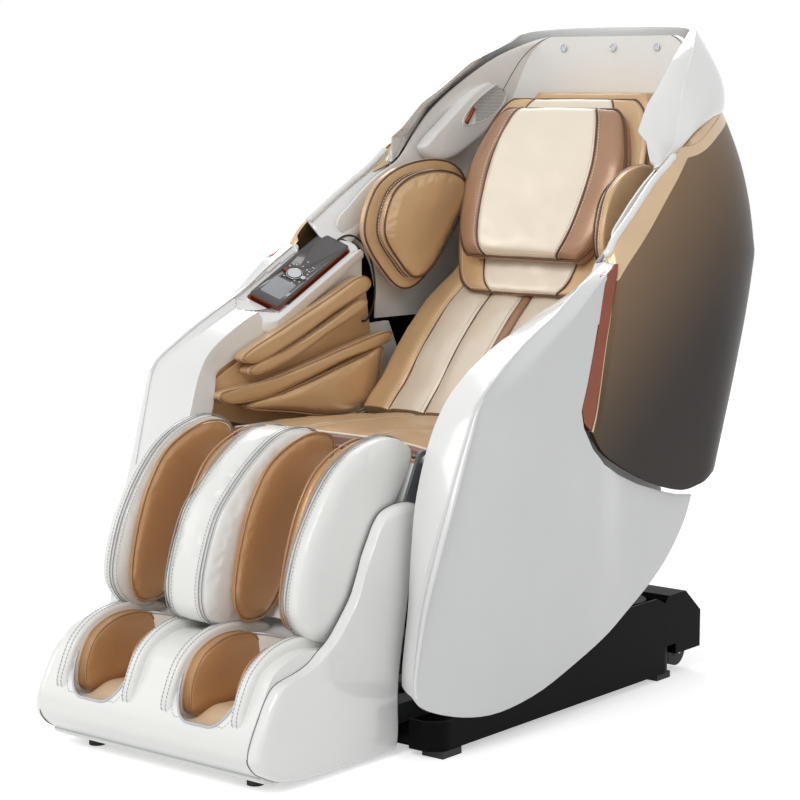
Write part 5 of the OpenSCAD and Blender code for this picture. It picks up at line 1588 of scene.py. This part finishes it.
def build_foot_cushions():
    f = finishes()
    skin = Skin()
    for x in (-WELL_X, WELL_X):
        def sole(u, v, h):
            y = mix(-687, -500, v)
            half = float(np.interp(y, [-687, -684, -677, -667, -655, -500],
                                   [34, 50, 59, 62, 46, 44]))
            rise = ((h + 26 * smooth((y + 685) / 70) * (h > 1)) * (1 - abs(2 * u - 1) ** 4) ** .5
                    * (1 - abs(2 * v - 1) ** 10) ** .5)
            return np.array([x + (2 * u - 1) * half, y, floor_height(y) + 0.6 + rise])
        part = shell(sole, 13, 0, steps((0, 1, 20)), steps((0, 1, 44)))
        skin.add(part.points, part.faces)
    put(skin.make("foot_soles", f["sole"]), "foot_unit", ["foot_cushions"])
    skin, collars = Skin(), Skin()
    cords, collar_lines = [], []
    for x in (-WELL_X, WELL_X):
        for k in (-57, 57):
            skin.add_solid(*pad(FOOT_PAD, x + k - 8, x + k + 8, 6, 1.5))
            for side in (-8, 8):
                cords.append((outline_loop(FOOT_PAD, x + k + side, 160, 0.8), True))
            edge = sorted((x + k * 1.16, x + k * 1.54))
            collars.add_solid(*pad(COLLAR, edge[0], edge[1], 1.5, 4))
            for share in (.28, .72):
                collar_lines.append((outline_loop(COLLAR, mix(*edge, share), 200, 4.6), True))
    put(collars.make("foot_collars", f["white_leather"]), "foot_unit", ())
    sew("foot_collar_stitches", collar_lines, "foot_unit", f["grey_thread"])
    piece = skin.make("foot_wall_pads", f["deep_tan"])
    rumple(piece, 0.8, 40)
    put(piece, "foot_unit", ["foot_cushions"])
    piping("foot_pad_piping", cords, 1.9, f["tan_piping"], "foot_unit")


# ---------------------------------------------------------------- remote and cord
def build_cord():
    f = finishes()
    count = 6 * (len(CORD_ROUTE) - 1)
    path = np.array([along(CORD_ROUTE, k / count) for k in range(count + 1)])
    piece = Skin().add_solid(*sweep(path, 2.0, 12)).make("remote_lead", f["rubber"])
    put(piece, "seat", ["remote_cord"])


DIAL = (34, 96)
MARK_RING = 24
MARK_HALF = 1.7


def build_remote():
    f = finishes()
    band = round_rect(0.1, -0.9, 67.8, 229.8, 6.4, 6)
    skin = Skin().add_solid(*prism(band, -1.9, 7.6, on_remote, 1.0))
    put(skin.make("remote_band", f["copper"]), "remote")
    top = round_rect(2.4, 1.4, 63.2, 225.2, 5, 6)
    skin = Skin().add_solid(*prism(top, 7.0, 8.9, on_remote, 0.6))
    piece = skin.make("remote_face", f["face"])
    for x, y, r in ((*DIAL, 13.6), (14, 96, 5.6), (54, 96, 5.6)):
        hole = Skin().add_solid(*prism(circle(x, y, r, 40), 4, 12, on_remote))
        piece = cut(piece, hole.make("hole", f["face"]))
    put(piece, "remote")
    screen = Skin().add_solid(*prism(round_rect(11, 19, 46, 52, 2, 4), 8.2, 9.1, on_remote, 0.2))
    put(screen.make("remote_screen", f["screen"]), "remote")
    ring = [on_remote(x, y, 9.2) for x, y in circle(*DIAL, 15.2, 48)]
    piping("remote_dial_ring", [(ring, True)], 0.7, f["bright"], "remote")
    marks = Skin()
    for k in range(9):
        a = math.radians(-60 + 30 * k)
        dx, dy = MARK_RING * math.cos(a), MARK_RING * math.sin(a) * 1.15
        if abs(dy) < 9 and abs(dx) > 14:
            continue
        mark = round_rect(DIAL[0] + dx - MARK_HALF, DIAL[1] + dy - MARK_HALF, 2 * MARK_HALF,
                          2 * MARK_HALF, .6, 2)
        marks.add_solid(*prism(mark, 8.7, 9.15, on_remote))
    for x, y in ((16, 132), (34, 140), (52, 132), (22, 80), (46, 80), (16, 118), (52, 118)):
        marks.add_solid(*prism(round_rect(x - 2.6, y - 1.1, 5.2, 2.2, .8, 2), 8.7, 9.15,
                               on_remote))
    put(marks.make("remote_marks", f["mark"]), "remote")


CAD_FINISHES = {
    "black": ["base_plinth", "rear_housing", "pivot_towers", "carriage_motor"],
    "steel": ["base_frame", "seat_frame", "back_frame", "leg_frame", "air_pump"],
    "bright": ["base_pins", "tilt_rod", "hinge_pins", "legrest_rod", "recline_rod", "foot_rods",
               "nav_button", "pause_key"],
    "rubber": ["base_feet", "transport_wheels", "rubber_feet"],
    "graphite": ["power_panel", "power_supply", "tilt_motor", "seat_actuators",
                 "carriage_frame", "massage_arms", "foot_rollers", "remote_body"],
    "copper": ["accent_strips", "remote_dock", "power_key"],
    "red": ["power_switch"],
    "lens": ["hood_lights"],
    "tan": ["upper_rollers", "lower_rollers"],
    "white": ["calf_shell"],
    "liner": ["side_liners"],
}


def build_frame_finishes():
    f = finishes()
    for key, names in CAD_FINISHES.items():
        for name in names:
            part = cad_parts[name]
            if not part.material_slots:
                part.data.materials.append(f[key])
            for s in part.material_slots:
                s.material = f[key]


# ---------------------------------------------------------------- studio
CAMERA_AT = (2.6149, -3.2505, 1.1005)
CAMERA_TURN = math.radians(39.15)
CAMERA_DIP = math.radians(7.76)
AIM = Vector((0, 0, 0.6))
FLOOR_REACH = 30.0


def eye_rays(t, x):
    """Number that is 1 for camera, glossy and transmission rays, and 0 for all others."""
    rays = node(t, "ShaderNodeLightPath", (x, 200))
    seen = rays.outputs["Is Camera Ray"]
    for kind in ("Is Glossy Ray", "Is Transmission Ray"):
        x += 180
        either = node(t, "ShaderNodeMath", (x, 200), operation="MAXIMUM")
        t.links.new(seen, either.inputs[0])
        t.links.new(rays.outputs[kind], either.inputs[1])
        seen = either.outputs[0]
    return seen


def build_stage(context):
    studio = context.scene.chair_studio
    scene = context.scene
    scene.view_settings.view_transform = "Standard"
    camera = bpy.data.cameras.new("Camera")
    camera.lens = studio.lens
    camera.sensor_width = 36
    camera.clip_end = 50
    eye = new_object("Camera", camera)
    eye.location = CAMERA_AT
    level = math.cos(CAMERA_DIP)
    look = Vector((-math.sin(CAMERA_TURN) * level, math.cos(CAMERA_TURN) * level,
                   -math.sin(CAMERA_DIP)))
    eye.rotation_euler = look.to_track_quat("-Z", "Y").to_euler()
    scene.camera = eye

    pale = bpy.data.materials.new("Studio floor")
    pale.use_nodes = True
    t = pale.node_tree
    t.nodes.clear()
    out = node(t, "ShaderNodeOutputMaterial", (600, 0))
    matte = feed(node(t, "ShaderNodeBsdfDiffuse", (0, 0)), {"Color": (*studio.floor, 1)})
    glow = feed(node(t, "ShaderNodeEmission", (0, -160)), {"Strength": studio.floor_lift})
    gate = node(t, "ShaderNodeMixShader", (200, -160))
    none = feed(node(t, "ShaderNodeEmission", (0, -320)), {"Strength": 0})
    t.links.new(eye_rays(t, -400), gate.inputs[0])
    t.links.new(none.outputs[0], gate.inputs[1])
    t.links.new(glow.outputs[0], gate.inputs[2])
    both = node(t, "ShaderNodeAddShader", (400, 0))
    t.links.new(matte.outputs[0], both.inputs[0])
    t.links.new(gate.outputs[0], both.inputs[1])
    t.links.new(both.outputs[0], out.inputs["Surface"])
    mesh = bpy.data.meshes.new("studio_floor")
    r = FLOOR_REACH
    mesh.from_pydata([(-r, -r, 0), (r, -r, 0), (r, r, 0), (-r, r, 0)], [], [[0, 1, 2, 3]])
    mesh.materials.append(pale)
    new_object("studio_floor", mesh)

    world = bpy.data.worlds.new("Studio")
    scene.world = world
    world.use_nodes = True
    t = world.node_tree
    t.nodes.clear()
    out = node(t, "ShaderNodeOutputWorld", (600, 0))
    soft = feed(node(t, "ShaderNodeBackground", (0, 0)),
                {"Color": (1, 1, 1, 1), "Strength": studio.fill})
    white = feed(node(t, "ShaderNodeBackground", (0, -160)),
                 {"Color": (1, 1, 1, 1), "Strength": 1.0})
    gate = node(t, "ShaderNodeMixShader", (300, 0))
    t.links.new(eye_rays(t, -600), gate.inputs[0])
    t.links.new(soft.outputs[0], gate.inputs[1])
    t.links.new(white.outputs[0], gate.inputs[2])
    t.links.new(gate.outputs[0], out.inputs["Surface"])

    for name, place, size, power in (("Key light", (1.2, -3.6, 3.6), 1.8, studio.key),
                                     ("Side light", (4.2, -0.4, 2.2), 2.2, studio.side),
                                     ("Back light", (-2.6, 2.6, 3.4), 2.6, studio.rim),
                                     ("Left light", (-3.6, -2.8, 2.4), 2.0, studio.left)):
        lamp = bpy.data.lights.new(name, "AREA")
        lamp.size = size
        lamp.energy = power
        holder = new_object(name, lamp)
        holder.location = place
        holder.rotation_euler = (AIM - Vector(place)).to_track_quat("-Z", "Y").to_euler()


# ---------------------------------------------------------------- add-on
def colour(name, about, default):
    return bpy.props.FloatVectorProperty(name=name, description=about, subtype="COLOR", size=3,
                                         min=0.0, max=1.0, default=default)


def power(name, about, default):
    return bpy.props.FloatProperty(name=name, description=about, min=0, max=1000,
                                   default=default, unit="POWER")


class ChairShells(bpy.types.PropertyGroup):
    """Colours of the moulded shells."""
    pearl: colour("Side panels", "Pearl lacquer of the two side panels", tone(215, 216, 216))
    white: colour("Arms and hood", "White gloss of arms, hood and foot covers",
                  tone(238, 238, 237))
    liner: colour("Inner wall", "Satin wall inside the hood", tone(240, 239, 236))
    bronze: colour("Back panels", "Metallic lacquer of the back panels", tone(164, 132, 98))
    # painted shade: dark colour painted onto the lower rear of the back panels
    bronze_painted_shade: colour("Back panels, low", "Deeper tone at the lower rear of the back panels",
                       tone(32, 23, 17))
    champagne: colour("Bevel", "Pale bevelled edge of the back panels", tone(214, 184, 148))
    copper: colour("Copper", "Copper strips, dock and speaker bars", tone(132, 62, 36))


class ChairLeather(bpy.types.PropertyGroup):
    """Colours and grain of the upholstery."""
    tan: colour("Tan", "Main leather", tone(212, 177, 134))
    deep_tan: colour("Deep tan", "Airbags of calves and feet", tone(194, 148, 102))
    sole: colour("Sole", "Soles of the foot wells", tone(232, 206, 172))
    cream: colour("Cream", "Head cushion and middle of the back", tone(240, 228, 210))
    brown: colour("Brown", "Side panels of the head cushion", tone(172, 132, 104))
    band: colour("Front band", "Band along the front of the seat", tone(146, 116, 106))
    white: colour("White", "Calf pads and foot unit", tone(236, 236, 233))
    dark_piping: colour("Dark piping", "Piping of back, head and shoulder cushions",
                        tone(98, 66, 50))
    tan_piping: colour("Tan piping", "Piping of arm and calf airbags", tone(176, 134, 94))
    grey_piping: colour("Grey piping", "Piping of the white leather", tone(150, 150, 152))
    grain_size: bpy.props.FloatProperty(name="Grain size", min=0.4, max=4.0, default=1.3,
                                        description="Width of the leather's pebbles, mm")


class ChairSewing(bpy.types.PropertyGroup):
    """Sizes of the stitches."""
    pitch: bpy.props.FloatProperty(name="Pitch", description="Distance between stitches",
                                   min=0.003, max=0.02, default=0.0065, unit="LENGTH")
    share: bpy.props.FloatProperty(name="Stitch share", min=0.3, max=0.9, default=0.68,
                                   description="Length of a stitch as a share of the pitch")
    thread: bpy.props.FloatProperty(name="Thread", description="Thickness of the thread",
                                    min=0.0004, max=0.003, default=0.0013, unit="LENGTH")


class ChairStudio(bpy.types.PropertyGroup):
    """Camera and lights."""
    lens: bpy.props.FloatProperty(name="Lens", description="Focal length of the camera, mm",
                                  min=20, max=300, default=104.994)
    floor: colour("Floor", "Colour of the studio floor", (0.9, 0.9, 0.9))
    floor_lift: bpy.props.FloatProperty(name="Floor lift", min=0, max=1, default=0.5,
                                        description="Glow of the floor where the camera sees it")
    fill: bpy.props.FloatProperty(name="Fill", description="Strength of the all-round light",
                                  min=0, max=2, default=0.56)
    key: power("Key", "Power of the key light", 70)
    side: power("Side", "Power of the side light", 6)
    left: power("Left", "Power of the left light", 26)
    rim: power("Back", "Power of the back light", 60)


class CHAIR_OT_stage(bpy.types.Operator):
    """Makes the camera, the floor, the world and the lights"""
    bl_idname = "chair.stage"
    bl_label = "Studio"

    def execute(self, context):
        build_stage(context)
        return {"FINISHED"}


class CHAIR_OT_cord(bpy.types.Operator):
    """Lays the remote's lead from the remote into the wall pad"""
    bl_idname = "chair.cord"
    bl_label = "Remote lead"

    def execute(self, context):
        build_cord()
        return {"FINISHED"}


class CHAIR_OT_frame_finishes(bpy.types.Operator):
    """Gives every part of the frame and drives its finish"""
    bl_idname = "chair.frame_finishes"
    bl_label = "Frame finishes"

    def execute(self, context):
        build_frame_finishes()
        return {"FINISHED"}


class CHAIR_OT_side_panels(bpy.types.Operator):
    """Makes the two pearl side panels"""
    bl_idname = "chair.side_panels"
    bl_label = "Side panels"

    def execute(self, context):
        build_side_panels()
        return {"FINISHED"}


class CHAIR_OT_arm_covers(bpy.types.Operator):
    """Makes the arm covers and the surround of the remote's dock"""
    bl_idname = "chair.arm_covers"
    bl_label = "Arm covers"

    def execute(self, context):
        build_arm_covers()
        return {"FINISHED"}


class CHAIR_OT_back_panels(bpy.types.Operator):
    """Makes the bronze back panels, the back cover and the inner wall's edge"""
    bl_idname = "chair.back_panels"
    bl_label = "Back panels"

    def execute(self, context):
        build_back_panels()
        return {"FINISHED"}


class CHAIR_OT_hood(bpy.types.Operator):
    """Makes the hood, its inner wall and the lamp bezels"""
    bl_idname = "chair.hood"
    bl_label = "Hood"

    def execute(self, context):
        build_hood()
        return {"FINISHED"}


class CHAIR_OT_speaker_pods(bpy.types.Operator):
    """Makes the speaker pods with their perforated plates"""
    bl_idname = "chair.speaker_pods"
    bl_label = "Speaker pods"

    def execute(self, context):
        build_speaker_pods()
        return {"FINISHED"}


class CHAIR_OT_seat_cushion(bpy.types.Operator):
    """Makes the seat cushion with its front band and fascia"""
    bl_idname = "chair.seat_cushion"
    bl_label = "Seat cushion"

    def execute(self, context):
        build_seat_cushion()
        return {"FINISHED"}


class CHAIR_OT_arm_pads(bpy.types.Operator):
    """Makes the arm airbags, the hip pads and the wall pads"""
    bl_idname = "chair.arm_pads"
    bl_label = "Arm pads"

    def execute(self, context):
        build_arm_pads()
        return {"FINISHED"}


class CHAIR_OT_back_cushion(bpy.types.Operator):
    """Makes the channelled back cushion"""
    bl_idname = "chair.back_cushion"
    bl_label = "Back cushion"

    def execute(self, context):
        build_back_cushion()
        return {"FINISHED"}


class CHAIR_OT_head_cushions(bpy.types.Operator):
    """Makes the head flap, the head pillow and the top cushion"""
    bl_idname = "chair.head_cushions"
    bl_label = "Head cushions"

    def execute(self, context):
        build_head_cushions()
        return {"FINISHED"}


class CHAIR_OT_shoulder_pads(bpy.types.Operator):
    """Makes the shoulder airbags"""
    bl_idname = "chair.shoulder_pads"
    bl_label = "Shoulder pads"

    def execute(self, context):
        build_shoulder_pads()
        return {"FINISHED"}


class CHAIR_OT_calf_pads(bpy.types.Operator):
    """Makes the calf pads and their airbags"""
    bl_idname = "chair.calf_pads"
    bl_label = "Calf pads"

    def execute(self, context):
        build_calf_pads()
        return {"FINISHED"}


class CHAIR_OT_foot_unit(bpy.types.Operator):
    """Makes the foot unit with its wells and side covers"""
    bl_idname = "chair.foot_unit"
    bl_label = "Foot unit"

    def execute(self, context):
        build_foot_unit()
        return {"FINISHED"}


class CHAIR_OT_foot_cushions(bpy.types.Operator):
    """Makes the soles and the wall pads of the foot wells"""
    bl_idname = "chair.foot_cushions"
    bl_label = "Foot cushions"

    def execute(self, context):
        build_foot_cushions()
        return {"FINISHED"}


class CHAIR_OT_remote(bpy.types.Operator):
    """Makes the face, the band, the screen and the marks of the remote"""
    bl_idname = "chair.remote"
    bl_label = "Remote"

    def execute(self, context):
        build_remote()
        return {"FINISHED"}


STEPS = [CHAIR_OT_stage, CHAIR_OT_cord, CHAIR_OT_frame_finishes, CHAIR_OT_side_panels,
         CHAIR_OT_arm_covers, CHAIR_OT_back_panels, CHAIR_OT_hood, CHAIR_OT_speaker_pods,
         CHAIR_OT_seat_cushion, CHAIR_OT_arm_pads, CHAIR_OT_back_cushion,
         CHAIR_OT_head_cushions, CHAIR_OT_shoulder_pads, CHAIR_OT_calf_pads, CHAIR_OT_foot_unit,
         CHAIR_OT_foot_cushions, CHAIR_OT_remote]
GROUPS = {"chair_shells": ChairShells, "chair_leather": ChairLeather,
          "chair_sewing": ChairSewing, "chair_studio": ChairStudio}


class CHAIR_PT_panel(bpy.types.Panel):
    """Lists the pieces of the chair and their settings"""
    bl_idname = "CHAIR_PT_panel"
    bl_label = "Massage chair"
    bl_space_type = "VIEW_3D"
    bl_region_type = "UI"
    bl_category = "Massage chair"

    def draw(self, context):
        for key, group in GROUPS.items():
            box = self.layout.box()
            settings = getattr(context.scene, key)
            for label in group.__annotations__:
                box.prop(settings, label)
        column = self.layout.column()
        for step in STEPS:
            column.operator(step.bl_idname)


def register():
    for group in GROUPS.values():
        bpy.utils.register_class(group)
    for step in STEPS:
        bpy.utils.register_class(step)
    bpy.utils.register_class(CHAIR_PT_panel)
    for key, group in GROUPS.items():
        setattr(bpy.types.Scene, key, bpy.props.PointerProperty(type=group))


def unregister():
    for key in GROUPS:
        delattr(bpy.types.Scene, key)
    bpy.utils.unregister_class(CHAIR_PT_panel)
    for step in reversed(STEPS):
        bpy.utils.unregister_class(step)
    for group in GROUPS.values():
        bpy.utils.unregister_class(group)


def main():
    register()
    for step in STEPS:
        area, name = step.bl_idname.split(".")
        getattr(getattr(bpy.ops, area), name)()


if __name__ == "__main__":
    main()
